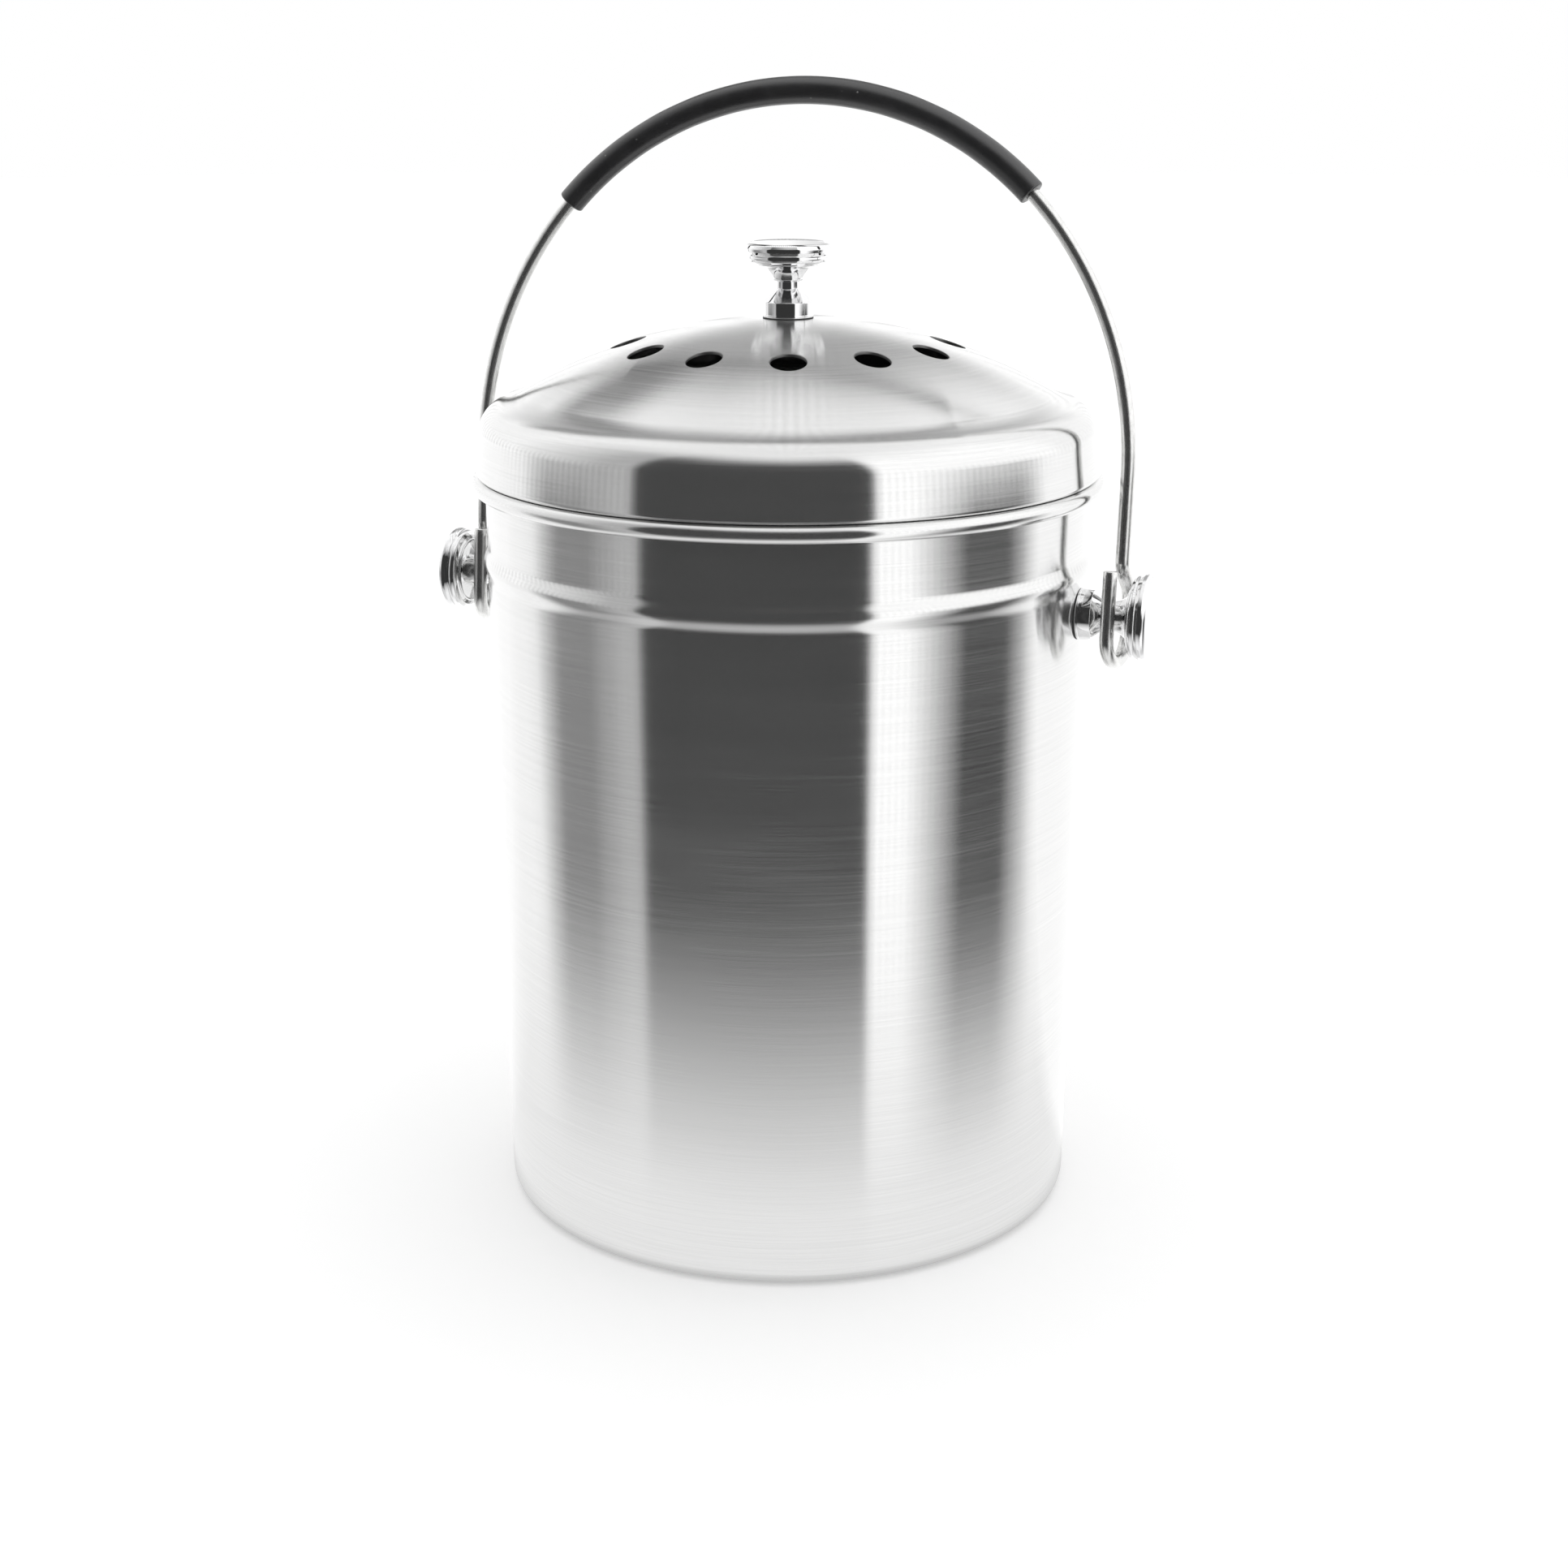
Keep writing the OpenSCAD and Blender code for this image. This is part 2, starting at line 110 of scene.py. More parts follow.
class LidSizes(bpy.types.PropertyGroup):
    """Sizes of the lid's one sheet."""

    side_out: length("Side overhang", "How far the lid's side stands outside the wall", 2)
    side_height: length("Side height", "From the seat to the shoulder's centre", 11.2)
    shoulder: length("Shoulder radius", "Round of the shoulder", 9.5)
    shoulder_in: length("Shoulder set in", "How far the lean sets the shoulder in", 0.4)
    lean: angle("Side lean", "Lean of the side, wider towards its foot", 6)
    dome_height: length("Dome height", "Dome's top above the shoulder's top", 22.7)
    dome_dip: length("Dome dip", "How far the dome's curve passes below the shoulder's top", 0.35)
    valley: length("Valley radius", "Reverse curve between shoulder and dome", 26)
    edge: length("Edge radius", "Inside radius of the turned-under edge", 0.5)
    fold: length("Fold radius", "Fold from that edge into the skirt", 0.8)
    skirt: length("Skirt", "How far the skirt reaches down", 12)
    skirt_gap: length("Skirt gap", "Gap between skirt and wall", 0.5)
    seat_gap: length("Seat gap", "Gap between lid and rim", 0.1)
    centre_hole: length("Centre hole", "Hole for the knob's screw", 4.6)
    vents: bpy.props.IntProperty(name="Vents", description="Number of vent holes", default=12, min=3)
    vent: length("Vent diameter", "Diameter of a vent hole", 10)
    vent_ring: length("Vent ring", "Radius of the ring of vents", 45.7)
    vent_turn: angle("Vent turn", "Turn of the ring of vents", 19)
    vent_edge: length("Vent edge", "Round of a vent's upper edge", 0.22)


class KnobSizes(bpy.types.PropertyGroup):
    """Sizes of a turned knob."""

    head: length("Head", "Diameter of the head", 25.4)
    tall: length("Length", "Length of the knob", 20.4)
    collar: length("Collar", "Diameter of the collar", 14.5)
    collar_height: length("Collar length", "Length of the collar", 3.9)
    lip: length("Lip", "How far the collar's lip reaches down round the seal", 0.5)
    neck: length("Neck", "Diameter of the neck", 6.8)
    neck_foot: length("Neck foot", "Height of the neck's lower end", 7.5)
    neck_height: length("Neck length", "Length of the neck", 2.1)
    flare: length("Flare radius", "Curve from neck to head", 4.75)
    flare_back: length("Flare centre", "Centre of that curve, out from the axis", 9.2)
    flare_drop: length("Flare drop", "Centre of that curve below the top of the neck", 0.3)
    head_thick: length("Head thickness", "Thickness of the head", 5.8)
    tap: length("Tapped hole", "Diameter of the hole for the screw", 4.1)
    tap_depth: length("Tap depth", "Depth of that hole", 11.4)
    seal: length("Seal", "Thickness of the seal under a knob", 0.6)
    hang: length("Hang", "Height at which the bail's hooks hang", 9.8)


class BailSizes(bpy.types.PropertyGroup):
    """Sizes of the wire bail and its sleeve."""

    wire: length("Wire", "Diameter of the wire", 4)
    legs: length("Legs", "Height of the straight legs above the axis", 39.5)
    leg_out: length("Leg offset", "Legs outside the middle of the necks", 1)
    side_radius: length("Side arch", "Radius of the arch at its sides", 108)
    side_turn: angle("Side turn", "Part of the quarter turn made at the sides", 40)
    lean: angle("Lean", "Lean of the standing bail", 6.5)
    jog_radius: length("Jog radius", "Bends that set the hook back", 6)
    jog_turn: angle("Jog turn", "Angle of those bends", 50)
    jog_foot: length("Jog foot", "Lower bend's end above the axis", 3.5)
    hook_back: length("Hook back", "Rear strand behind the axis", 8.5)
    hook_front: length("Hook front", "Front strand before the axis", 6.3)
    hook_back_out: length("Rear offset", "Rear strand outside the neck's middle", 1.9)
    hook_front_in: length("Front offset", "Front strand inside the neck's middle", 1)
    hook_drop: length("Hook drop", "Hook's bottom below the axis", 13)
    hook_tip: length("Hook tip", "Cut end above the axis", 13.2)
    sleeve: length("Sleeve", "Outside diameter of the sleeve", 7.8)
    sleeve_gap: length("Sleeve gap", "Gap between sleeve and wire", 0.05)
    sleeve_share: factor("Sleeve share", "Part of the upper arch that the sleeve covers", 0.932)
    sleeve_shift: length("Sleeve shift", "How far the sleeve sits off the middle", 3.6)


class FilterSizes(bpy.types.PropertyGroup):
    """Sizes of the charcoal pad."""

    radius: length("Pad radius", "Outside radius of the pad", 83.3)
    thick: length("Pad thickness", "Thickness of the pad", 7)
    low: length("Pad height", "Height of the pad's underside", 206.3)
    dimple: length("Dimple", "Depth of the needled dimples", 0.25)


class Finishes(bpy.types.PropertyGroup):
    """Colours and roughness of the finishes."""

    sheet: colour("Sheet", "Brushed stainless sheet", (0.8, 0.8, 0.797))
    sheet_rough: factor("Sheet roughness", "Roughness of the brushed sheet", 0.145)
    chrome: colour("Chrome", "Plated knobs", (0.88, 0.88, 0.885))
    chrome_rough: factor("Chrome roughness", "Roughness of the plating", 0.03)
    wire: colour("Wire", "Satin wire", (0.84, 0.84, 0.83))
    wire_rough: factor("Wire roughness", "Roughness of the wire", 0.24)
    screws: colour("Screws", "Plain stainless fasteners", (0.6, 0.6, 0.6))
    rubber: colour("Sleeve rubber", "Satin black sleeve", (0.011, 0.011, 0.012))
    seal: colour("Seal rubber", "Black seals", (0.03, 0.03, 0.03))
    plastic: colour("Plastic", "Moulded filter holder", (0.045, 0.045, 0.048))
    felt: colour("Felt", "Charcoal felt", (0.04, 0.04, 0.042))


class StageSettings(bpy.types.PropertyGroup):
    """Camera, floor and light."""

    turn: angle("Camera turn", "Camera round from the front", 19)
    distance: length("Distance", "Camera's distance from the axis", 722)
    height: length("Height", "Camera's height", 338.4)
    aside: length("Aside", "Object's shift across the picture", 1.18)
    pitch: angle("Pitch", "Camera's downward tilt", 16.64)
    lens: bpy.props.FloatProperty(name="Lens", description="Focal length in millimetres", default=57.45)
    floor: colour("Floor", "Pale floor", (0.93, 0.93, 0.93))
    apron: length("Apron", "White table that the steel mirrors in front", 150)
    panels: factor("Panels", "Strength of the panels and walls that the steel mirrors", 1.25, 4.0)
    grid: factor("Panel grid", "Unevenness of the panels' rows of lamps", 0.26)
    lift: factor("Floor lift", "How much brighter than its paint the camera sees the floor", 0.15)


# Profiles
def arc(centre, radius, a0, a1, steps):
    """Centre plus radius times the cosine and sine of angles spaced evenly from a0 to a1, in degrees."""
    a = np.radians(np.linspace(a0, a1, steps + 1))
    return np.stack([centre[0] + radius * np.cos(a), centre[1] + radius * np.sin(a)], 1)


def join(*parts):
    """The parts' points one after the other, without repeated points."""
    points = np.concatenate([np.asarray(p, float).reshape(-1, 2) for p in parts])
    keep = np.append(True, np.linalg.norm(np.diff(points, axis=0), axis=1) > 1e-7)
    return points[keep]


def rounded(points, radius, steps=5):
    """The open polyline with each inner corner replaced by an arc tangent to both its sides.

    The arc starts radius over the tangent of half the corner's angle from the corner, and is
    cut down where a side is short.
    """
    points = np.asarray(points, float)
    out = [points[:1]]
    for before, corner, after in zip(points[:-2], points[1:-1], points[2:]):
        to_a, to_b = before - corner, after - corner
        reach_a, reach_b = np.linalg.norm(to_a), np.linalg.norm(to_b)
        to_a, to_b = to_a / reach_a, to_b / reach_b
        half = math.acos(np.clip(to_a @ to_b, -1, 1)) / 2
        if half > math.radians(88):
            out.append(corner[None])
            continue
        back = min(radius / math.tan(half), 0.48 * reach_a, 0.48 * reach_b)
        r = back * math.tan(half)
        middle = corner + (to_a + to_b) / np.linalg.norm(to_a + to_b) * (r / math.sin(half))
        start, end = corner + to_a * back - middle, corner + to_b * back - middle
        t = np.linspace(0, 1, steps + 1)[:, None]
        swing = math.acos(np.clip(start @ end / (r * r), -1, 1))
        out.append(middle + (np.sin((1 - t) * swing) * start + np.sin(t * swing) * end) / math.sin(swing))
    out.append(points[-1:])
    return join(*out)


def heading(a, b):
    """Angle of the direction from a to b, in degrees."""
    return math.degrees(math.atan2(b[1] - a[1], b[0] - a[0]))


def tangent_centre(a, ra, b, rb):
    """Where circles of radii ra about a and rb about b cross, on the side nearer the axis."""
    d = math.hypot(b[0] - a[0], b[1] - a[1])
    u = (np.asarray(b) - np.asarray(a)) / d
    along = (ra * ra - rb * rb + d * d) / (2 * d)
    off = math.sqrt(ra * ra - along * along)
    return np.asarray(a) + along * u + off * np.array([-u[1], u[0]])


def pail_side(s, e):
    """Side of the pail at depth e: base, flat ring, corner, tapered wall and a bead of one cosine wave."""
    foot = s.wall_radius - s.taper
    ring = foot - s.corner
    panel = ring - s.ring_width - s.rise + e * math.tan(math.radians(22.5))
    bead_foot = s.height - s.bead_drop - s.bead_height / 2
    base = rounded([[0, s.rise + e], [panel, s.rise + e], [panel + s.rise, e], [ring, e]], 1.2 * MM)
    wave = np.linspace(0, 1, 49)
    bead_r = s.wall_radius - e + s.bead_out * (1 - np.cos(2 * np.pi * wave)) / 2
    bead = np.stack([bead_r, bead_foot + s.bead_height * wave], 1)
    return join(base, arc((ring, s.corner), s.corner - e, -90, 0, 14), bead)


def pail_profile(s):
    """The pail's sheet in half section: outer side, back round the rim's curl, and inner side."""
    centre = (s.wall_radius - s.sheet + s.rim / 2, s.height - s.rim / 2)
    roll = math.degrees(s.rim_roll)
    inner_curl = arc(centre, s.rim / 2 - s.sheet, 180, 180 - roll, 40)
    outer_curl = arc(centre, s.rim / 2, 180, 180 - roll, 56)
    return join(pail_side(s, 0), inner_curl, outer_curl[::-1], pail_side(s, s.sheet)[::-1])


def lid_places(p, s):
    """Centres and radii of the lid's curves, from the pail's and the lid's sizes."""
    upright = p.wall_radius + s.side_out
    seat = p.height + s.seat_gap
    shoulder = np.array([upright - s.shoulder, seat + s.side_height])
    top = shoulder[1] + s.shoulder + s.dome_height
    rise = s.dome_height + s.dome_dip
    dome = (rise * rise + shoulder[0] ** 2) / (2 * rise)
    centre = np.array([0, top - dome])
    shoulder[0] -= s.shoulder_in
    edge = p.sheet + s.edge
    drop = shoulder[1] - seat - edge
    foot = shoulder[0] + (drop * math.sin(s.lean) + s.shoulder - edge) / math.cos(s.lean)
    valley = tangent_centre(centre, dome + s.valley, shoulder, s.shoulder + s.valley)
    skirt = p.wall_radius - p.sheet - s.skirt_gap
    return {
        "foot": foot, "seat": seat, "shoulder": shoulder, "top": top, "dome": dome,
        "centre": centre, "valley": valley, "skirt": skirt, "skirt_foot": seat - s.skirt,
    }


def dome_height(at, r, e):
    """Height of the dome at distance r from the axis, e below its outer face."""
    return at["centre"][1] + np.sqrt((at["dome"] - e) ** 2 - r * r)


def dome_line(at, r0, r1, e, steps):
    """The dome's half section from r0 to r1, even in angle."""
    radius = at["dome"] - e
    a = np.linspace(math.asin(r0 / radius), math.asin(r1 / radius), steps + 1)
    return np.stack([radius * np.sin(a), at["centre"][1] + radius * np.cos(a)], 1)


def lid_flank(at, s, e, r0):
    """From r0 on the dome at depth e, round the reverse curve and over the shoulder to the side."""
    a_dome = heading(at["centre"], at["valley"])
    a_shoulder = heading(at["shoulder"], at["valley"])
    end = (at["dome"] - e) * math.cos(math.radians(a_dome))
    return join(
        dome_line(at, r0, end, e, 16),
        arc(at["valley"], s.valley + e, a_dome + 180, a_shoulder + 180, 16),
        arc(at["shoulder"], s.shoulder - e, a_shoulder, math.degrees(s.lean), 22),
    )


def lid_edge(at, s, t, edge, fold):
    """The turned-under edge and the fold into the skirt, as two arcs of radii edge and fold."""
    return join(
        arc((at["foot"], at["seat"] + t + s.edge), edge, math.degrees(s.lean), -90, 9),
        arc((at["skirt"] + s.fold, at["seat"] - s.fold), fold, 90, 180, 9),
    )


def knob_profile(k):
    """Half section of a knob: tapped hole, lipped collar, cone, neck, flare and a head in two rounds."""
    collar, neck, head = k.collar / 2, k.neck / 2, k.head / 2
    neck_top = k.neck_foot + k.neck_height
    centre = (k.flare_back, neck_top - k.flare_drop)
    flare = arc(centre, k.flare, 171, 92, 24)
    foot = rounded(
        [
            [0, k.tap_depth], [k.tap / 2, k.tap_depth - 1.2 * MM], [k.tap / 2, 0], [collar - 0.95 * MM, 0],
            [collar - 0.9 * MM, -k.lip], [collar + 0.06 * MM, -k.lip], [collar + 0.06 * MM, 0.1 * MM],
            [collar, 0.3 * MM], [collar, k.collar_height - 0.15 * MM],
            [collar - 0.3 * MM, k.collar_height + 0.15 * MM],
            [neck, k.neck_foot], [neck, neck_top], [neck + 0.85 * MM, neck_top + 0.12 * MM], flare[0],
        ],
        0.22 * MM,
    )
    low = k.tall - k.head_thick
    under = [(3.2, -0.3), (3.25, 0), (2, 0.15), (0.9, 0.7), (0.5, 1.5), (0.65, 2.25), (0.35, 2.7)]
    over = [(0, 2.3), (0, 1.4), (0.5, 0.5), (1.4, 0), (2.2, 0.25)]
    lower = [[head - x * MM, low + z * MM] for x, z in under]
    upper = [[head - x * MM, k.tall - z * MM] for x, z in over]
    face = rounded([flare[-1], *lower, *upper, [0, k.tall - 0.3 * MM]], 0.7 * MM, 7)
    return join(foot, flare, face)


# Surfaces
def spin(profile, steps=AROUND, start=0.0):
    """The profile carried round Z: at angle a, a point at radius r and height z is (r cos a, r sin a, z).

    Returns the points, and coordinates of the turn's share and the way along the profile.
    """
    a = start + np.linspace(0, 2 * math.pi, steps + 1)
    r, z = profile[:, :1], profile[:, 1:]
    points = np.stack([r * np.cos(a), r * np.sin(a), np.repeat(z, steps + 1, 1)], 2)
    way = np.append(0, np.cumsum(np.linalg.norm(np.diff(profile, axis=0), axis=1)))
    u, v = np.meshgrid(np.linspace(0, 1, steps + 1), way)
    return points, np.stack([u, v], 2)


def carried(centres, side_a, side_b, angles, radii):
    """A round section carried along a line: centre plus radius times (cosine side_a plus sine side_b).

    Row i has its own centre, sides and radius.
    """
    c, s = np.cos(angles)[None, :, None], np.sin(angles)[None, :, None]
    points = centres[:, None] + radii[:, None, None] * (c * side_a[:, None] + s * side_b[:, None])
    way = np.append(0, np.cumsum(np.linalg.norm(np.diff(centres, axis=0), axis=1)))
    u, v = np.meshgrid(np.linspace(0, 1, len(angles)), way)
    return points, np.stack([u, v], 2)


def vent_lattice(s, middle, per_sector, along_side, hole, shares):
    """Lattice between a vent's round hole and the edge of its sector of the dome, seen from above.

    The sector's edge runs along its outer arc, one side, its inner arc and the other side. Each of its
    points is joined to the point of the hole in the same direction from the vent's centre, and shares
    say how far along that join each row lies.
    """
    half = math.pi / s.vents
    across = np.linspace(-half, half, per_sector + 1)
    down = np.linspace(s.vent_ring + VENT_BAND, s.vent_ring - VENT_BAND, along_side + 1)
    r = np.concatenate(
        [np.full(per_sector, down[0]), down[:-1], np.full(per_sector, down[-1]), down[::-1]]
    )
    a = np.concatenate(
        [across[:-1], np.full(along_side, half), across[:0:-1], np.full(along_side + 1, -half)]
    )
    edge = np.stack([r * np.cos(a), r * np.sin(a)], 1)
    centre = np.array([s.vent_ring, 0])
    out = edge - centre
    out /= np.linalg.norm(out, axis=1)[:, None]
    rim = centre + hole * out
    flat = rim[None] + shares[:, None, None] * (edge - rim)[None]
    c, d = math.cos(middle), math.sin(middle)
    return flat @ np.array([[c, d], [-d, c]]), out @ np.array([[c, d], [-d, c]])


def raised(flat, height):
    """The flat lattice lifted to height, a function of the distance from the axis, with polar coordinates."""
    r = np.linalg.norm(flat, axis=2)
    points = np.concatenate([flat, height(r)[:, :, None]], 2)
    turn = np.arctan2(flat[:, :, 1], flat[:, :, 0])
    turn = np.unwrap(turn, axis=1)
    return points, np.stack([turn / (2 * math.pi), r], 2)


def quads(rows, columns, first=0):
    """Corners of the faces of a lattice whose points are numbered row by row."""
    i = first + np.arange(rows * columns).reshape(rows, columns)
    return np.stack([i[:-1, :-1], i[:-1, 1:], i[1:, 1:], i[1:, :-1]], 2).reshape(-1, 4)


def made(name, patches, body, nodes, makers, sharp=35):
    """One mesh from patches of points and coordinates, joined where they meet, with outward normals.

    The makers give its finishes. A patch with a third entry uses the second of them.
    """
    places, corners, faces, kinds, first = [], [], [], [], 0
    for points, uv, *second in patches:
        rows, columns = points.shape[:2]
        places.append(points.reshape(-1, 3))
        corners.append(uv.reshape(-1, 2))
        faces.append(quads(rows, columns, first))
        kinds.append(np.full(len(faces[-1]), len(second), np.int32))
        first += rows * columns
    places, corners, faces = np.concatenate(places), np.concatenate(corners), np.concatenate(faces)
    mesh = bpy.data.meshes.new(name)
    mesh.from_pydata(places, [], faces)
    mesh.polygons.foreach_set("material_index", np.concatenate(kinds))
    layer = mesh.uv_layers.new(name="way")
    layer.data.foreach_set("uv", corners[faces.ravel()].astype(np.float32).ravel())
    work = bmesh.new()
    work.from_mesh(mesh)
    bmesh.ops.remove_doubles(work, verts=work.verts, dist=2e-7)
    bmesh.ops.dissolve_degenerate(work, edges=work.edges, dist=1e-8)
    bmesh.ops.recalc_face_normals(work, faces=work.faces)
    open_edges = sum(not e.is_manifold for e in work.edges)
    if work.calc_volume(signed=True) < 0:
        bmesh.ops.reverse_faces(work, faces=work.faces)
    work.to_mesh(mesh)
    work.free()
    if open_edges:
        raise RuntimeError(f"{name} has {open_edges} open edges")
    mesh.shade_smooth()
    mesh.set_sharp_from_angle(angle=math.radians(sharp))
    obj = bpy.data.objects.new(name, mesh)
    bpy.context.scene.collection.objects.link(obj)
    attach(obj, body)
    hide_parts(*nodes)
    fits(obj, nodes)
    for maker in makers:
        mesh.materials.append(shared(maker))
    return obj


def fits(obj, nodes, allow=0.0008):
    """Stops the script where the piece's box and its nodes' box differ by more than allow."""
    co = np.zeros(len(obj.data.vertices) * 3, np.float32)
    obj.data.vertices.foreach_get("co", co)
    co = co.reshape(-1, 3)
    boxes = [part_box(n) for n in nodes]
    low = np.min([list(b[0]) for b in boxes], 0)
    high = np.max([list(b[1]) for b in boxes], 0)
    off = max(np.abs(co.min(0) - low).max(), np.abs(co.max(0) - high).max())
    if off > allow:
        raise RuntimeError(f"{obj.name} is {off * 1000:.2f} mm off its node")


# Wire
def turned(v, k, a):
    """Vector v turned by each angle of a about the unit vector k."""
    a = np.atleast_1d(a)[:, None]
    return v * np.cos(a) + np.cross(k, v) * np.sin(a) + k * (k @ v) * (1 - np.cos(a))


def wire_sections(steps, place, side_a, side_b, ahead, spacing):
    """Centres and side vectors along straight runs and bends.

    A run moves the section ahead. A bend turns it about a centre one radius away, towards the given angle
    between its two sides.
    """
    rows = [np.stack([place, side_a, side_b])[None]]
    for step in steps:
        if len(step) == 1:
            count = max(1, math.ceil(step[0] / (3 * spacing)))
            t = np.linspace(0, step[0], count + 1)[1:, None]
            centres = place + t * ahead
            sides_a, sides_b = np.repeat(side_a[None], count, 0), np.repeat(side_b[None], count, 0)
        else:
            radius, bend, towards_angle = step
            towards = math.cos(towards_angle) * side_a + math.sin(towards_angle) * side_b
            k = np.cross(ahead, towards)
            centre = place + radius * towards
            count = max(4, math.ceil(radius * bend / spacing))
            a = np.linspace(0, bend, count + 1)[1:]
            centres = centre + turned(place - centre, k, a)
            sides_a, sides_b = turned(side_a, k, a), turned(side_b, k, a)
            ahead = turned(ahead, k, bend)[0]
        rows.append(np.stack([centres, sides_a, sides_b], 1))
        place, side_a, side_b = centres[-1], sides_a[-1], sides_b[-1]
    return np.concatenate(rows)


def bail_places(p, k, b):
    """The bail's derived places: offsets of its strands and the two centres of its arch."""
    pivot = p.height - p.pivot_drop
    bead_foot = p.height - p.bead_drop - p.bead_height / 2
    wall = p.wall_radius - p.taper + p.taper * (pivot - p.corner) / (bead_foot - p.corner)
    foot = wall + k.seal
    neck = foot + k.hang
    leg, back, front = neck + b.leg_out, neck + b.hook_back_out, neck - b.hook_front_in
    arch = b.side_radius - (b.side_radius - leg) / math.cos(b.side_turn)
    arch_z = b.legs + (b.side_radius - arch) * math.sin(b.side_turn)
    return {
        "pivot": pivot, "foot": foot, "neck": neck, "leg": leg, "back": back, "front": front,
        "arch": arch, "arch_z": arch_z,
    }


def leaned(points, at, lean):
    """From the bail's own upright frame to the object's, turned by lean about the knobs' axis."""
    c, s = math.cos(lean), math.sin(lean)
    x, y, z = np.moveaxis(points, -1, 0)
    return np.stack([x, y * c + z * s, at["pivot"] - y * s + z * c], -1)


def bail_line(b, at):
    """Sections of the whole wire: half from the arch's middle to the hook's cut end, and its mirror."""
    jog = math.hypot(at["back"] - at["leg"], b.hook_back)
    jog_run = (jog - 2 * b.jog_radius * (1 - math.cos(b.jog_turn))) / math.sin(b.jog_turn)
    jog_height = 2 * b.jog_radius * math.sin(b.jog_turn) + jog_run * math.cos(b.jog_turn)
    hook = math.hypot(at["back"] - at["front"], b.hook_back + b.hook_front)
    hook_z = hook / 2 - b.hook_drop
    jog_roll = math.atan2(b.hook_back, at["leg"] - at["back"])
    hook_roll = math.atan2(-b.hook_back - b.hook_front, at["back"] - at["front"])
    steps = [
        (at["arch"], math.pi / 2 - b.side_turn, 0.0), (b.side_radius, b.side_turn, 0.0),
        (b.legs - b.jog_foot - jog_height,),
        (b.jog_radius, b.jog_turn, jog_roll), (jog_run,), (b.jog_radius, b.jog_turn, jog_roll + math.pi),
        (b.jog_foot - hook_z,),
        (hook / 2, math.pi, hook_roll), (b.hook_tip - hook_z,),
    ]
    start = np.array([0, 0, at["arch_z"] + at["arch"]])
    half = wire_sections(
        steps, start, np.array([0, 0, -1.0]), np.array([0, 1.0, 0]), np.array([1.0, 0, 0]), 0.8 * MM
    )
    left = half[:0:-1] * np.array([-1.0, 1, 1])
    return np.concatenate([left, half])


# Node trees
class Tree:
    """Short calls for making nodes in one material or world."""

    def __init__(self, owner):
        self.nodes = owner.node_tree.nodes
        self.links = owner.node_tree.links
        self.nodes.clear()

    def add(self, kind, inputs=None, **settings):
        """A node of that kind with its settings, and its inputs set or linked by name or number."""
        node = self.nodes.new(kind)
        for key, value in settings.items():
            setattr(node, key, value)
        for key, value in (inputs or {}).items():
            if isinstance(value, bpy.types.NodeSocket):
                self.links.new(value, node.inputs[key])
            else:
                node.inputs[key].default_value = value
        return node

    def math(self, operation, *values):
        """A Math node's result."""
        return self.add("ShaderNodeMath", dict(enumerate(values)), operation=operation).outputs[0]

    def times(self, a, b):
        """The product of two numbers."""
        return self.math("MULTIPLY", a, b)

    def plus(self, a, b):
        """The sum of two numbers."""
        return self.math("ADD", a, b)

    def remap(self, value, low, high, to_low=0.0, to_high=1.0):
        """The value moved from one range to another, clamped."""
        inputs = {0: value, 1: low, 2: high, 3: to_low, 4: to_high}
        return self.add("ShaderNodeMapRange", inputs).outputs[0]

    def blend(self, share, a, b):
        """Between the colours a and b."""
        return self.add("ShaderNodeMix", {0: share, 6: a, 7: b}, data_type="RGBA").outputs[2]

    def between(self, share, a, b):
        """Between the numbers a and b."""
        return self.add("ShaderNodeMix", {0: share, 2: a, 3: b}, data_type="FLOAT").outputs[0]

    def mixed(self, share, a, b):
        """Between the shaders a and b."""
        return self.add("ShaderNodeMixShader", {0: share, 1: a, 2: b}).outputs[0]

    def shining(self, kind, strength):
        """A white light of that kind and strength."""
        return self.add(kind, {0: grey(1.0), 1: strength}).outputs[0]

    def ramp(self, value, stops):
        """A grey ramp through (place, grey) stops."""
        node = self.add("ShaderNodeValToRGB", {0: value})
        elements = node.color_ramp.elements
        elements[0].position, elements[0].color = stops[0][0], grey(stops[0][1])
        elements[1].position, elements[1].color = stops[-1][0], grey(stops[-1][1])
        for place, shade in stops[1:-1]:
            elements.new(place).color = grey(shade)
        return node.outputs[0]

    def place(self):
        """The point on the piece, in the object's own coordinates."""
        return self.add("ShaderNodeTexCoord").outputs["Object"]

    def noise(self, vector, scale, detail=2.0, rough=0.5):
        """A noise value about a half."""
        inputs = {"Vector": vector, "Scale": scale, "Detail": detail, "Roughness": rough}
        return self.add("ShaderNodeTexNoise", inputs).outputs[0]

    def stretched(self, vector, scale):
        """The vector scaled along its three axes."""
        return self.add("ShaderNodeMapping", {"Vector": vector, "Scale": scale}).outputs[0]

    def shaded(self, rgb, shade):
        """The colour made darker or lighter by shade."""
        inputs = {0: rgb[:], "Scale": shade}
        return self.add("ShaderNodeVectorMath", inputs, operation="SCALE").outputs[0]

    def bump(self, height, distance, strength):
        """A normal raised by height."""
        inputs = {"Height": height, "Distance": distance, "Strength": strength}
        return self.add("ShaderNodeBump", inputs).outputs[0]


def grey(value):
    """An opaque grey colour."""
    return (value, value, value, 1.0)


def opaque(rgb):
    """An opaque colour from three numbers."""
    return (*rgb, 1.0)


def material(name):
    """An empty node material and its tree."""
    made_material = bpy.data.materials.new(name)
    made_material.use_nodes = True
    return made_material, Tree(made_material)


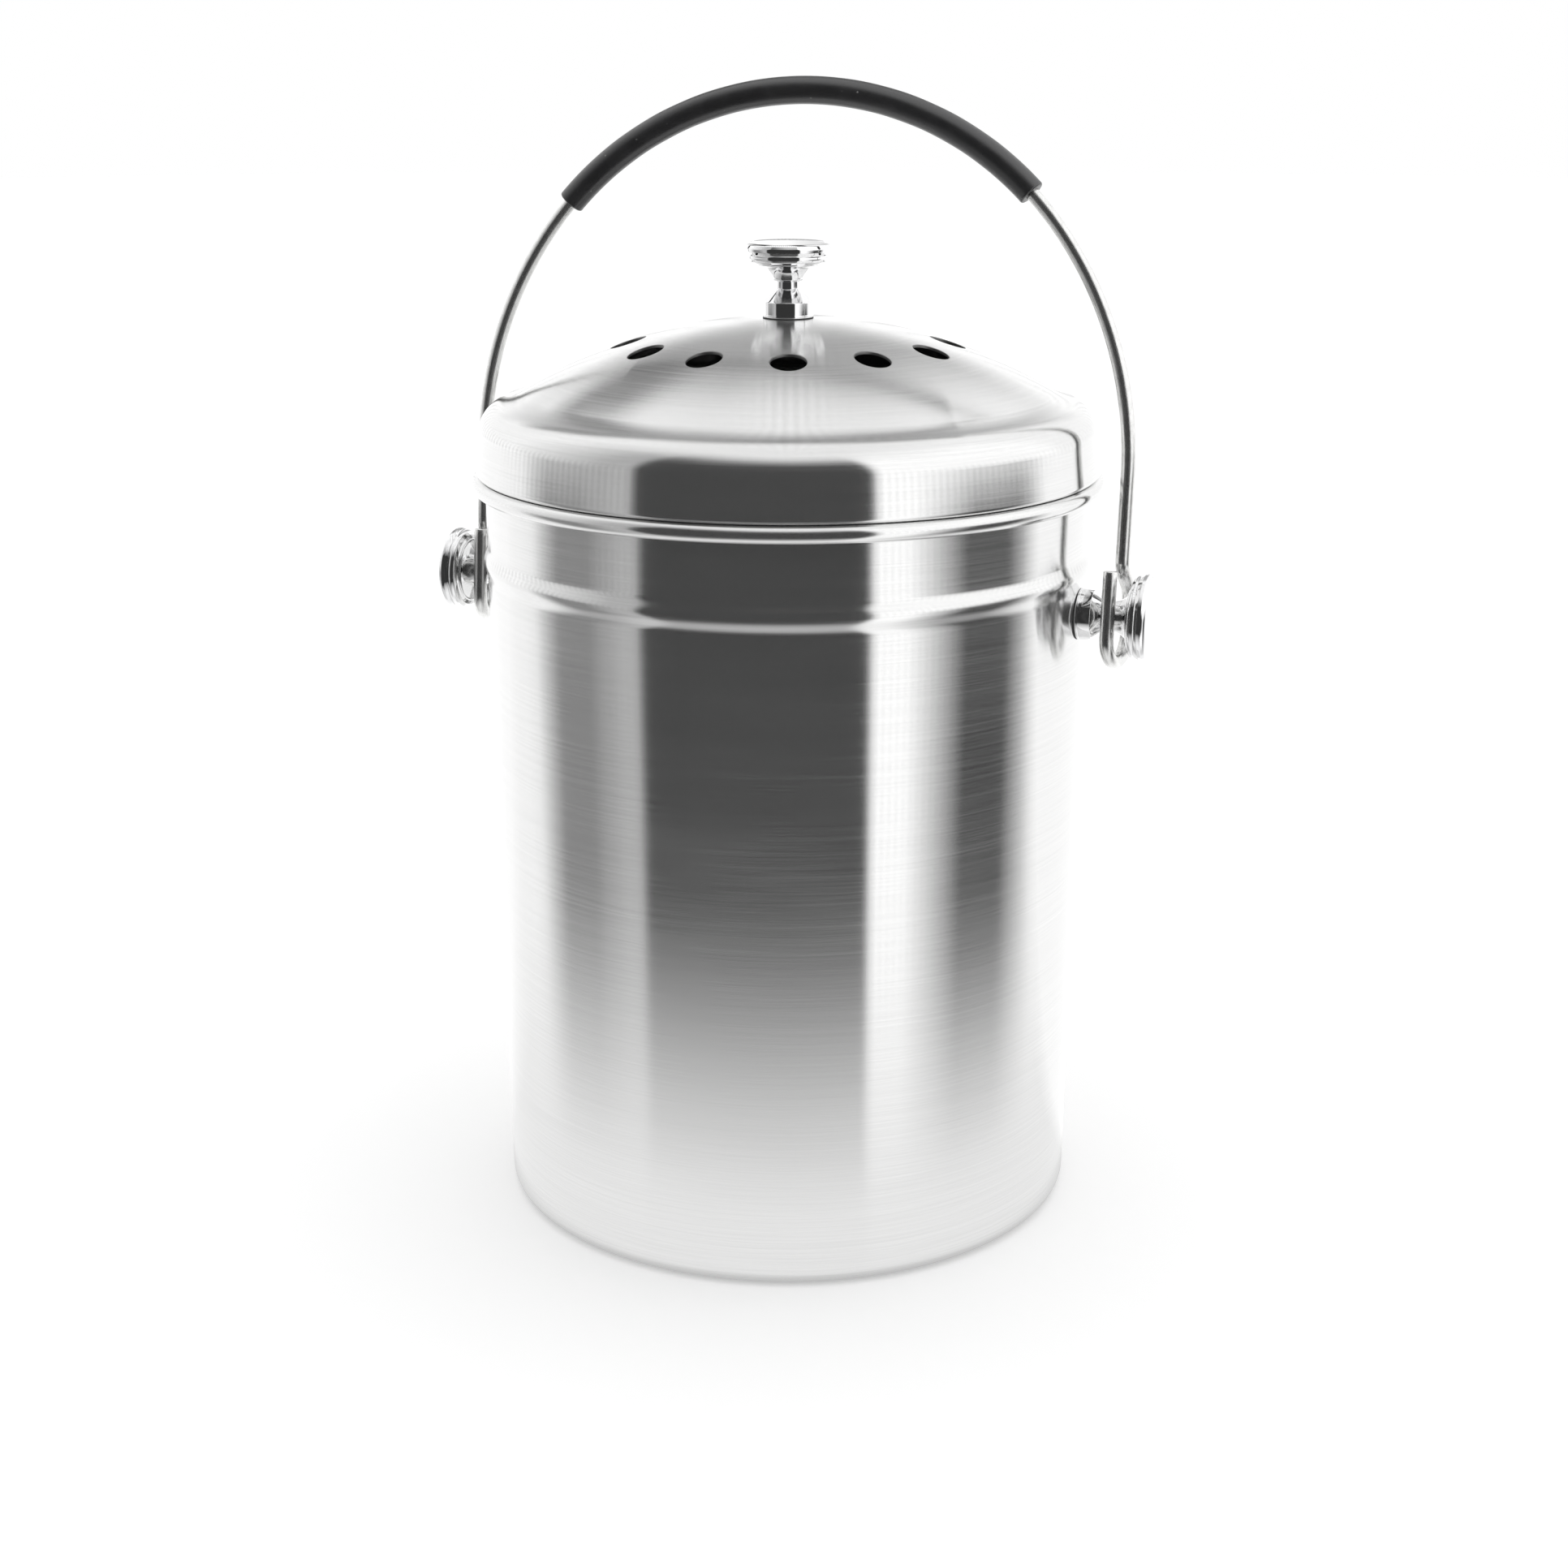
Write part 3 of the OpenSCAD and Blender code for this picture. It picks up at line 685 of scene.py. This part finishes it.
def surface(tree, shader_inputs, **constants):
    """A Principled shader wired to the output."""
    shader = tree.add("ShaderNodeBsdfPrincipled", {**shader_inputs, **constants})
    tree.add("ShaderNodeOutputMaterial", {0: shader.outputs[0]})


def brushed_sheet(tree, f):
    """Stainless sheet brushed round the body: fine lines that run round, and light drawn out across them."""
    place = tree.place()
    uv = tree.add("ShaderNodeUVMap", uv_map="way").outputs[0]
    x, y, _ = split(tree, place)
    _, way, _ = split(tree, uv)
    lines = tree.add("ShaderNodeCombineXYZ", {0: x, 1: y, 2: way}).outputs[0]
    fine = tree.noise(tree.stretched(lines, (34, 34, 6400)), 1.0, 3.0, 0.6)
    coarse = tree.noise(tree.stretched(lines, (9, 9, 2300)), 1.0, 2.0, 0.5)
    broad = tree.noise(tree.stretched(lines, (16, 16, 60)), 1.0, 2.0, 0.5)
    both = tree.plus(tree.times(fine, 0.6), tree.times(coarse, 0.4))
    tint = tree.remap(both, 0.3, 0.7, 0.93, 1.05)
    base = tree.shaded(f.sheet, tint)
    worn = tree.plus(tree.remap(both, 0.3, 0.7, -0.03, 0.03), tree.remap(broad, 0.3, 0.7, -0.01, 0.01))
    rough = tree.plus(worn, f.sheet_rough)
    tangent = tree.add("ShaderNodeTangent", direction_type="UV_MAP", uv_map="way").outputs[0]
    normal = tree.bump(both, 0.000016, 0.36)
    surface(
        tree,
        {"Base Color": base, "Roughness": rough, "Tangent": tangent, "Normal": normal},
        Metallic=0.965,
        Anisotropic=1.0,
        **{"Anisotropic Rotation": 0.25},
    )


def cut_edge_painted_shade(tree, f):
    """Punched edge of the sheet: dull, with a torn grain, its colour held dark as painted shade in the vent
    holes.
    """
    place = tree.place()
    torn = tree.noise(place, 2400.0, 3.0)
    # Painted shade: the edge's colour is a quarter to a third of the sheet's so the vents read dark; the torn
    # grain is real
    shade = tree.remap(torn, 0.3, 0.7, 0.24, 0.36)
    base = tree.shaded(f.sheet, shade)
    normal = tree.bump(torn, 0.00005, 0.3)
    surface(tree, {"Base Color": base, "Roughness": 0.5, "Normal": normal}, Metallic=1.0)


def split(tree, vector):
    """The vector's three numbers."""
    return tree.add("ShaderNodeSeparateXYZ", {0: vector}).outputs[:]


def plated(tree, f):
    """Bright plating with a faint orange peel."""
    place = tree.place()
    peel = tree.noise(place, 420.0, 2.0)
    haze = tree.noise(place, 1800.0, 2.0)
    rough = tree.plus(tree.remap(haze, 0.35, 0.7, -0.01, 0.03), f.chrome_rough)
    normal = tree.bump(peel, 0.00006, 0.12)
    surface(tree, {"Base Color": opaque(f.chrome), "Roughness": rough, "Normal": normal}, Metallic=1.0)


def drawn_wire(tree, f):
    """Satin wire with fine lines drawn along it and small marks across."""
    uv = tree.add("ShaderNodeUVMap", uv_map="way").outputs[0]
    lines = tree.noise(tree.stretched(uv, (70, 60, 1)), 1.0, 2.0)
    marks = tree.noise(tree.stretched(uv, (9, 420, 1)), 1.0, 3.0)
    shade = tree.remap(marks, 0.35, 0.75, 1.03, 0.86)
    base = tree.shaded(f.wire, shade)
    rough = tree.plus(tree.remap(lines, 0.3, 0.7, -0.04, 0.06), f.wire_rough)
    tangent = tree.add("ShaderNodeTangent", direction_type="UV_MAP", uv_map="way").outputs[0]
    normal = tree.bump(tree.plus(lines, marks), 0.00004, 0.12)
    surface(
        tree,
        {"Base Color": base, "Roughness": rough, "Tangent": tangent, "Normal": normal},
        Metallic=1.0,
        Anisotropic=0.6,
    )


def plain_steel(tree, f):
    """Plain fasteners: tumbled steel with small scuffs."""
    place = tree.place()
    scuff = tree.noise(place, 900.0, 4.0)
    shade = tree.remap(scuff, 0.35, 0.7, 1.04, 0.82)
    base = tree.shaded(f.screws, shade)
    rough = tree.remap(scuff, 0.35, 0.7, 0.26, 0.4)
    normal = tree.bump(scuff, 0.00005, 0.2)
    surface(tree, {"Base Color": base, "Roughness": rough, "Normal": normal}, Metallic=1.0)


def sleeve_rubber(tree, f):
    """Satin rubber with a fine grain, faint handling marks and a few specks of dust."""
    place = tree.place()
    grain = tree.noise(place, 2600.0, 3.0)
    marks = tree.noise(place, 170.0, 4.0, 0.65)
    cells = tree.add(
        "ShaderNodeTexVoronoi", {"Vector": place, "Scale": 420.0, "Randomness": 1.0}, feature="F1"
    )
    chance = tree.math("GREATER_THAN", split(tree, cells.outputs["Color"])[0], 0.8)
    speck = tree.times(chance, tree.remap(cells.outputs["Distance"], 0.15, 0.06, 0.0, 1.0))
    faded = tree.remap(marks, 0.45, 0.75, 0.0, 0.35)
    worn = tree.blend(faded, opaque(f.rubber), opaque([min(1.0, c * 2.1) for c in f.rubber]))
    base = tree.blend(tree.times(speck, 0.5), worn, (0.3, 0.3, 0.29, 1.0))
    rough = tree.remap(marks, 0.3, 0.7, 0.27, 0.38)
    normal = tree.bump(grain, 0.00006, 0.25)
    surface(tree, {"Base Color": base, "Roughness": rough, "Normal": normal}, IOR=1.9)


def seal_rubber(tree, f):
    """Black moulded rubber with a fine grain."""
    place = tree.place()
    grain = tree.noise(place, 3200.0, 2.0)
    base = tree.blend(tree.remap(grain, 0.3, 0.7), opaque(f.seal), opaque([c * 1.5 for c in f.seal]))
    surface(tree, {"Base Color": base, "Roughness": 0.58, "Normal": tree.bump(grain, 0.00006, 0.25)})


def moulded_plastic(tree, f):
    """Matt moulded plastic with spark-eroded grain."""
    place = tree.place()
    grain = tree.noise(place, 1500.0, 3.0)
    flow = tree.noise(place, 60.0, 3.0)
    base = tree.blend(tree.remap(flow, 0.3, 0.7), opaque(f.plastic), opaque([c * 1.25 for c in f.plastic]))
    rough = tree.remap(grain, 0.3, 0.7, 0.44, 0.56)
    surface(tree, {"Base Color": base, "Roughness": rough, "Normal": tree.bump(grain, 0.00008, 0.35)})


def charcoal_felt(tree, f):
    """Needled felt: two crossed sets of stretched fibres, lint and charcoal dust."""
    place = tree.place()
    fibre_x = tree.noise(tree.stretched(place, (300, 2600, 1400)), 1.0, 4.0, 0.7)
    fibre_y = tree.noise(tree.stretched(place, (2400, 340, 1400)), 1.0, 4.0, 0.7)
    lint = tree.math("MAXIMUM", fibre_x, fibre_y)
    dust = tree.noise(place, 110.0, 5.0, 0.7)
    strands = tree.blend(tree.remap(lint, 0.5, 0.75), opaque(f.felt), opaque([c * 3.2 for c in f.felt]))
    base = tree.blend(tree.remap(dust, 0.4, 0.8, 0.0, 0.6), strands, opaque([c * 0.5 for c in f.felt]))
    surface(
        tree,
        {"Base Color": base, "Roughness": 0.95, "Normal": tree.bump(lint, 0.0004, 0.7)},
        **{"Sheen Weight": 0.25, "Specular IOR Level": 0.2},
    )


def shared(maker):
    """The finish of that maker, made once and named for it."""
    name = maker.__name__.replace("_", " ")
    found = bpy.data.materials.get(name)
    if found is None:
        found, tree = material(name)
        maker(tree, bpy.context.scene.caddy_finishes)
    return found


def finish_nodes(names, maker):
    """Puts that maker's finish on CAD nodes that stay."""
    for name in names:
        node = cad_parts[name]
        node.data.materials.clear()
        node.data.materials.append(shared(maker))


# Operators
class CaddyPail(bpy.types.Operator):
    """Pail: its sheet section, with raised base, bead and curled rim, spun round the axis."""

    bl_idname = "caddy.pail"
    bl_label = "Pail"

    def execute(self, context):
        s = context.scene.caddy_pail
        profile = pail_profile(s)
        made("pail_skin", [spin(profile)], "pail", ["pail_body"], [brushed_sheet])
        return {"FINISHED"}


class CaddyLid(bpy.types.Operator):
    """Lid: dome, shoulder, turned-under edge and skirt spun round the axis, with a ring of vents cut in."""

    bl_idname = "caddy.lid"
    bl_label = "Lid"

    def execute(self, context):
        p, s = context.scene.caddy_pail, context.scene.caddy_lid
        t = p.sheet
        at = lid_places(p, s)
        per_sector = AROUND // s.vents
        start = s.vent_turn + math.pi / s.vents
        near, far = s.vent_ring - VENT_BAND, s.vent_ring + VENT_BAND
        hole = s.centre_hole / 2
        crown = join(dome_line(at, near, hole, t, 10), dome_line(at, hole, near, 0, 10))
        skirt_end = [[at["skirt"], at["skirt_foot"]], [at["skirt"] - t, at["skirt_foot"]]]
        flank = join(
            lid_flank(at, s, 0, far),
            lid_edge(at, s, t, s.edge + t, s.fold),
            rounded(
                [
                    [at["skirt"], at["seat"] - s.fold], *skirt_end,
                    [at["skirt"] - t, at["seat"] - s.fold],
                ],
                0.12 * MM,
                3,
            ),
            lid_edge(at, s, t, s.edge, s.fold + t)[::-1],
            lid_flank(at, s, t, far)[::-1],
        )
        patches = [spin(crown, start=start), spin(flank, start=start)]
        shares = np.array([0, 0.03, 0.08, 0.16, 0.27, 0.4, 0.55, 0.7, 0.85, 1.0])
        bore = s.vent / 2
        turn = np.linspace(0, math.pi / 2, 7)
        ring_out = bore + s.vent_edge * (1 - np.sin(turn))
        ring_down = s.vent_edge * (1 - np.cos(turn))
        for i in range(s.vents):
            middle = s.vent_turn + 2 * math.pi * i / s.vents
            flat, _ = vent_lattice(s, middle, per_sector, 16, bore + s.vent_edge, shares)
            patches.append(raised(flat, lambda r: dome_height(at, r, 0)))
            flat, ways = vent_lattice(s, middle, per_sector, 16, bore, shares)
            patches.append(raised(flat, lambda r: dome_height(at, r, t)))
            centre = s.vent_ring * np.array([math.cos(middle), math.sin(middle)])
            rows = centre + np.append(ring_out, bore)[:, None, None] * ways[None]
            r = np.linalg.norm(rows, axis=2)
            z = dome_height(at, r, 0)
            z[:-1] -= ring_down[:, None]
            z[-1] = dome_height(at, r[-1], t)
            wall = np.concatenate([rows, z[:, :, None]], 2)
            u, v = np.meshgrid(np.linspace(0, 1, wall.shape[1]), np.linspace(0, 0.001, wall.shape[0]))
            # The vent's wall takes the second finish, the cut edge darkened as painted shade
            patches.append((wall, np.stack([u, v], 2), "cut"))
        made("lid_skin", patches, "lid", ["lid_shell"], [brushed_sheet, cut_edge_painted_shade])
        return {"FINISHED"}


class CaddyKnobs(bpy.types.Operator):
    """Knobs: one turned section, spun and set on the lid and on both sides."""

    bl_idname = "caddy.knobs"
    bl_label = "Knobs"

    def execute(self, context):
        p, k, s = context.scene.caddy_pail, context.scene.caddy_knob, context.scene.caddy_lid
        at = bail_places(p, k, context.scene.caddy_bail)
        top = lid_places(p, s)["top"] + k.seal
        points, uv = spin(knob_profile(k), 160)
        x, y, z = np.moveaxis(points, -1, 0)
        places = {
            "lid_knob": ("lid", np.stack([x, y, z + top], -1)),
            "right_knob": ("pail", np.stack([z + at["foot"], y, at["pivot"] - x], -1)),
            "left_knob": ("pail", np.stack([-z - at["foot"], -y, at["pivot"] - x], -1)),
        }
        for node, (body, moved) in places.items():
            made(node + "_turned", [(moved, uv)], body, [node], [plated], 60)
        return {"FINISHED"}


class CaddyBail(bpy.types.Operator):
    """Bail: one round wire carried along its arch, legs, jogs and hooks, with cut and dressed ends."""

    bl_idname = "caddy.bail"
    bl_label = "Bail"

    def execute(self, context):
        b = context.scene.caddy_bail
        at = bail_places(context.scene.caddy_pail, context.scene.caddy_knob, b)
        line = bail_line(b, at)
        radius, dressed = b.wire / 2, 0.25 * MM
        ahead = line[1, 0] - line[0, 0]
        behind = line[-1, 0] - line[-2, 0]
        first, last = line[:1].copy(), line[-1:].copy()
        inner_first, inner_last = first.copy(), last.copy()
        inner_first[0, 0] += dressed * ahead / np.linalg.norm(ahead)
        inner_last[0, 0] -= dressed * behind / np.linalg.norm(behind)
        rows = np.concatenate([first, first, inner_first, line[1:-1], inner_last, last, last])
        radii = np.full(len(rows), radius)
        radii[[0, -1]] = 0
        radii[[1, -2]] = radius - dressed
        points, uv = carried(rows[:, 0], rows[:, 1], rows[:, 2], np.linspace(0, 2 * math.pi, 33), radii)
        points = leaned(points, at, b.lean)
        made("bail_round_wire", [(points, uv)], "bail", ["bail_wire"], [drawn_wire], 50)
        return {"FINISHED"}


class CaddyGrip(bpy.types.Operator):
    """Grip: a rubber sleeve carried along the upper arch, bored for the wire, with soft ends."""

    bl_idname = "caddy.grip"
    bl_label = "Grip"

    def execute(self, context):
        b = context.scene.caddy_bail
        at = bail_places(context.scene.caddy_pail, context.scene.caddy_knob, b)
        arch = at["arch"]
        reach = b.sleeve_share * 2 * (math.pi / 2 - b.side_turn) * arch
        outer, bore, soft = b.sleeve / 2, b.wire / 2 + b.sleeve_gap, 0.55 * MM
        start = arc((soft, outer - soft), soft, 180, 90, 7)
        end = arc((reach - soft, outer - soft), soft, 90, 0, 7)
        straight = np.linspace(soft, reach - soft, GRIP_STEPS)[1:-1]
        way = np.concatenate([start[:, 0], straight, end[:, 0]])
        high = np.concatenate([start[:, 1], np.full(len(straight), outer), end[:, 1]])
        slack = 0.05 * MM * (0.5 - 0.5 * np.cos(way / (0.5 * reach) * 2 * math.pi))
        high = high - slack * np.sin(way * 210) ** 2
        back = np.linspace(reach, 0, 40)
        way = np.concatenate([way, [reach], back, [0]])
        high = np.concatenate([high, [bore + 0.2 * MM], np.full(40, bore), [bore + 0.2 * MM]])
        way, high = np.append(way, way[0]), np.append(high, high[0])
        turn = math.pi / 2 + b.sleeve_shift / arch - reach / arch / 2 + way / arch
        zero = np.zeros_like(turn)
        out = np.stack([np.cos(turn), zero, np.sin(turn)], 1)
        centres = np.array([0, 0, at["arch_z"]]) + arch * out
        across = np.repeat([[0, 1.0, 0]], len(turn), 0)
        points, uv = carried(centres, out, across, np.linspace(0, 2 * math.pi, 49), high)
        points = leaned(points, at, b.lean)
        made("grip_soft_sleeve", [(points, uv)], "bail", ["grip_sleeve"], [sleeve_rubber], 60)
        return {"FINISHED"}


class CaddyFilter(bpy.types.Operator):
    """Filter: a felt pad with softened edges and needled dimples, in its moulded holder."""

    bl_idname = "caddy.filter"
    bl_label = "Filter"

    def execute(self, context):
        s = context.scene.caddy_filter
        soft = 1.6 * MM
        low, high = s.low, s.low + s.thick
        line = join(
            np.stack([np.linspace(0, s.radius - soft, 90), np.full(90, low)], 1),
            arc((s.radius - soft, low + soft), soft, -90, 0, 8),
            arc((s.radius - soft, high - soft), soft, 0, 90, 8),
            np.stack([np.linspace(s.radius - soft, 0, 90), np.full(90, high)], 1),
        )
        points, uv = spin(line, 240)
        x, y, z = np.moveaxis(points, -1, 0)
        dimple = np.sin(x * 900) * np.sin(y * 900)
        wave = np.sin(x * 70 + 1) * np.sin(y * 55 + 2)
        inward = np.where(z > (low + high) / 2, -1.0, 1.0)
        face = np.clip((s.radius - soft - np.hypot(x, y)) / (4 * MM), 0, 1)
        pressed = s.dimple * (0.5 - 0.5 * dimple * np.abs(dimple)) + s.dimple * (0.5 + 0.5 * wave)
        z = z + inward * face * pressed
        patch = (np.stack([x, y, z], -1), uv)
        pad = made("filter_felt", [patch], "filter", ["filter_pad"], [charcoal_felt], 60)
        finish_nodes(["filter_holder"], moulded_plastic)
        return {"FINISHED"}


class CaddySmallParts(bpy.types.Operator):
    """Small parts: finishes of the screws, washers and seals."""

    bl_idname = "caddy.small_parts"
    bl_label = "Screws, washers and seals"

    def execute(self, context):
        steel = [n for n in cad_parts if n.endswith(("_screw", "_washer"))]
        rubber = [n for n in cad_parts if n.endswith("_seal")]
        finish_nodes(steel, plain_steel)
        finish_nodes(rubber, seal_rubber)
        return {"FINISHED"}


# Shapes of the mirrored studio: azimuth from the camera, half width and soft edge of each, its lowest and
# highest place and soft edge there, all in degrees, and its grey
PANELS = (
    {"what": "right panel", "across": (70, 40, 10), "up": (-90, 50, 20), "grey": 1.0},
    {"what": "light falling off on the left", "across": (-60, 10, 50), "up": (-90, 50, 30), "grey": 0.4},
    {"what": "dark opening round the camera", "across": (-13, 42, 4), "up": (-90, 40, 30), "grey": 0.03},
    {"what": "left stand", "across": (-88, 8, 15), "up": (-90, -5, 8), "grey": 0.2},
    {"what": "right stand", "across": (80, 10, 25), "up": (-90, -5, 8), "grey": 0.03},
    {"what": "dark end of the room", "across": (180, 12, 15), "up": (25, 50, 12), "grey": 0.35},
    {"what": "beam behind", "across": (-157, 7, 5), "up": (33, 42, 8), "grey": 0.2},
)


def studio_world(s):
    """White for the camera and even light for matt surfaces. Mirrored rays see a studio.

    The studio is a pale wall with a few panels and dark shapes placed on it, each told by its azimuth from
    the camera and its height, and a lit ceiling above.
    """
    world = bpy.data.worlds.new("studio")
    bpy.context.scene.world = world
    world.use_nodes = True
    tree = Tree(world)
    x, y, z = split(tree, tree.add("ShaderNodeTexCoord").outputs["Generated"])
    across, front = turned_axes(tree, x, y, s.turn)
    azimuth = tree.math("ARCTAN2", across, front)
    height = tree.math("ARCSINE", z)
    rows = tree.math("SINE", tree.times(azimuth, 128.0))
    overhead = tree.math("DIVIDE", across, tree.math("MAXIMUM", z, 0.2))
    columns = tree.math("SINE", tree.times(overhead, 210.0))
    found = 0.9
    for panel in PANELS:
        middle, half, soft = (math.radians(v) for v in panel["across"])
        low, high, fade = (math.radians(v) for v in panel["up"])
        away = tree.math("ARCCOSINE", tree.math("COSINE", tree.math("SUBTRACT", azimuth, middle)))
        beside = tree.remap(away, half, half + soft, 1.0, 0.0)
        over = tree.remap(height, low - fade, low)
        under = tree.remap(height, high, high + fade, 1.0, 0.0)
        share = tree.times(beside, tree.times(over, under))
        found = tree.between(share, found, panel["grey"])
    lofty = tree.remap(height, math.radians(50), math.radians(80))
    found = tree.between(lofty, found, 0.8)
    upper = tree.remap(height, math.radians(14), math.radians(26))
    low_grid, high_grid = tree.times(rows, s.grid), tree.times(columns, s.grid * 1.3)
    stripes = tree.between(upper, low_grid, high_grid)
    found = tree.times(found, tree.plus(stripes, 1.0))
    mirror = tree.times(found, s.panels)
    path = tree.add("ShaderNodeLightPath")
    lit, mirrored, white = (tree.shining("ShaderNodeBackground", power) for power in (0.95, mirror, 1.0))
    glossy = tree.mixed(path.outputs["Is Glossy Ray"], lit, mirrored)
    seen = tree.mixed(path.outputs["Is Camera Ray"], glossy, white)
    tree.add("ShaderNodeOutputWorld", {0: seen})


def turned_axes(tree, x, y, turn):
    """The parts of x and y across the camera's view and towards the camera."""
    c, d = math.cos(turn), math.sin(turn)
    across = tree.plus(tree.times(x, c), tree.times(y, d))
    front = tree.math("SUBTRACT", tree.times(x, d), tree.times(y, c))
    return across, front


def studio_floor(s):
    """A pale floor that keeps the shadow. Mirrored rays see a lit table that ends some way in front, dimmed
    round the pail's foot as a painted contact shadow.
    """
    points, _ = spin(np.array([[0, -0.0004], [6.0, -0.0004]]), 96)
    mesh = bpy.data.meshes.new("floor")
    mesh.from_pydata(points.reshape(-1, 3), [], quads(*points.shape[:2])[:, ::-1])
    work = bmesh.new()
    work.from_mesh(mesh)
    bmesh.ops.remove_doubles(work, verts=work.verts, dist=1e-6)
    work.to_mesh(mesh)
    work.free()
    floor = bpy.data.objects.new("floor", mesh)
    bpy.context.scene.collection.objects.link(floor)
    found, tree = material("pale floor")
    x, y, _ = split(tree, tree.place())
    across, front = turned_axes(tree, x, y, s.turn)
    azimuth = tree.remap(tree.math("ARCTAN2", across, front), -math.pi, math.pi)
    sides = ((-180, 0), (-128, 0), (-104, 1), (94, 1), (104, 0), (180, 0))
    forward = tree.ramp(azimuth, [(0.5 + a / 360, g) for a, g in sides])
    reach = tree.math("SQRT", tree.plus(tree.times(x, x), tree.times(y, y)))
    pail = bpy.context.scene.caddy_pail
    foot = pail.wall_radius
    away = tree.remap(reach, foot + s.apron * 0.3, foot + s.apron * 1.7)
    path = tree.add("ShaderNodeLightPath")
    gone = tree.times(tree.times(away, forward), path.outputs["Is Glossy Ray"])
    paint = tree.add("ShaderNodeBsdfDiffuse", {"Color": opaque(s.floor)}).outputs[0]
    lift = tree.shining("ShaderNodeEmission", s.lift)
    bright = tree.add("ShaderNodeAddShader", {0: paint, 1: lift}).outputs[0]
    # Painted contact shadow: the glow that mirrored rays see drops to about a half towards the pail's base
    # ring
    ring = foot - pail.taper - pail.corner
    shaded = tree.remap(reach, ring, foot + 0.006, 0.55, 1.0)
    facing = tree.remap(forward, 0.0, 1.0, s.panels * 0.94, s.panels * 0.8)
    glow = tree.shining("ShaderNodeEmission", tree.times(shaded, facing))
    shown = tree.mixed(path.outputs["Is Camera Ray"], paint, bright)
    shown = tree.mixed(path.outputs["Is Glossy Ray"], shown, glow)
    ends = tree.mixed(gone, shown, tree.add("ShaderNodeBsdfTransparent").outputs[0])
    tree.add("ShaderNodeOutputMaterial", {0: ends})
    mesh.materials.append(found)


class CaddyStage(bpy.types.Operator):
    """Stage: the camera at the photograph's angle, a pale floor and plain soft studio light."""

    bl_idname = "caddy.stage"
    bl_label = "Stage"

    def execute(self, context):
        s = context.scene.caddy_stage
        c, d = math.cos(s.turn), math.sin(s.turn)
        right = np.array([c, d, 0])
        ahead = np.array([-d * math.cos(s.pitch), c * math.cos(s.pitch), -math.sin(s.pitch)])
        up = np.cross(right, ahead)
        place = np.array([-s.aside * c + s.distance * d, -s.aside * d - s.distance * c, s.height])
        data = bpy.data.cameras.new("camera")
        data.lens = s.lens
        data.sensor_width = 36.0
        data.clip_start, data.clip_end = 0.01, 100.0
        camera = bpy.data.objects.new("camera", data)
        turn = np.eye(4)
        turn[:3, 0], turn[:3, 1], turn[:3, 2], turn[:3, 3] = right, up, -ahead, place
        camera.matrix_world = Matrix(turn.tolist())
        context.scene.collection.objects.link(camera)
        context.scene.camera = camera
        context.scene.view_settings.view_transform = "Standard"
        lamp = bpy.data.lights.new("overhead", "AREA")
        lamp.shape, lamp.size, lamp.size_y = "RECTANGLE", 1.2, 1.2
        lamp.energy = 2.0
        light = bpy.data.objects.new("overhead", lamp)
        light.location = (0.1, -0.2, 1.4)
        light.visible_glossy = False
        context.scene.collection.objects.link(light)
        studio_world(s)
        studio_floor(s)
        return {"FINISHED"}


class CaddyPanel(bpy.types.Panel):
    """Lists the caddy's pieces in the sidebar."""

    bl_idname = "VIEW3D_PT_caddy"
    bl_label = "Caddy"
    bl_space_type = "VIEW_3D"
    bl_region_type = "UI"
    bl_category = "Caddy"

    def draw(self, context):
        for operator in OPERATORS:
            self.layout.operator(operator.bl_idname)
        for name in GROUPS:
            box = self.layout.box()
            settings = getattr(context.scene, name)
            for key in settings.bl_rna.properties.keys()[2:]:
                box.prop(settings, key)


GROUPS = {
    "caddy_pail": PailSizes,
    "caddy_lid": LidSizes,
    "caddy_knob": KnobSizes,
    "caddy_bail": BailSizes,
    "caddy_filter": FilterSizes,
    "caddy_finishes": Finishes,
    "caddy_stage": StageSettings,
}
OPERATORS = (
    CaddyStage, CaddyPail, CaddyLid, CaddyKnobs, CaddyBail, CaddyGrip, CaddyFilter, CaddySmallParts,
)


def register():
    """Registers the classes and puts each group of sizes on the scene."""
    for kind in (*GROUPS.values(), *OPERATORS, CaddyPanel):
        bpy.utils.register_class(kind)
    for name, kind in GROUPS.items():
        setattr(bpy.types.Scene, name, bpy.props.PointerProperty(type=kind))


def unregister():
    """Takes all of it off again."""
    for name in GROUPS:
        delattr(bpy.types.Scene, name)
    for kind in (CaddyPanel, *reversed(OPERATORS), *GROUPS.values()):
        bpy.utils.unregister_class(kind)


def main():
    """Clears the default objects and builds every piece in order."""
    for name in ("Cube", "Light", "Camera"):
        if name in bpy.data.objects:
            bpy.data.objects.remove(bpy.data.objects[name])
    register()
    for operator in OPERATORS:
        group, name = operator.bl_idname.split(".")
        getattr(getattr(bpy.ops, group), name)()
    bpy.context.view_layer.update()


if __name__ == "__main__":
    main()
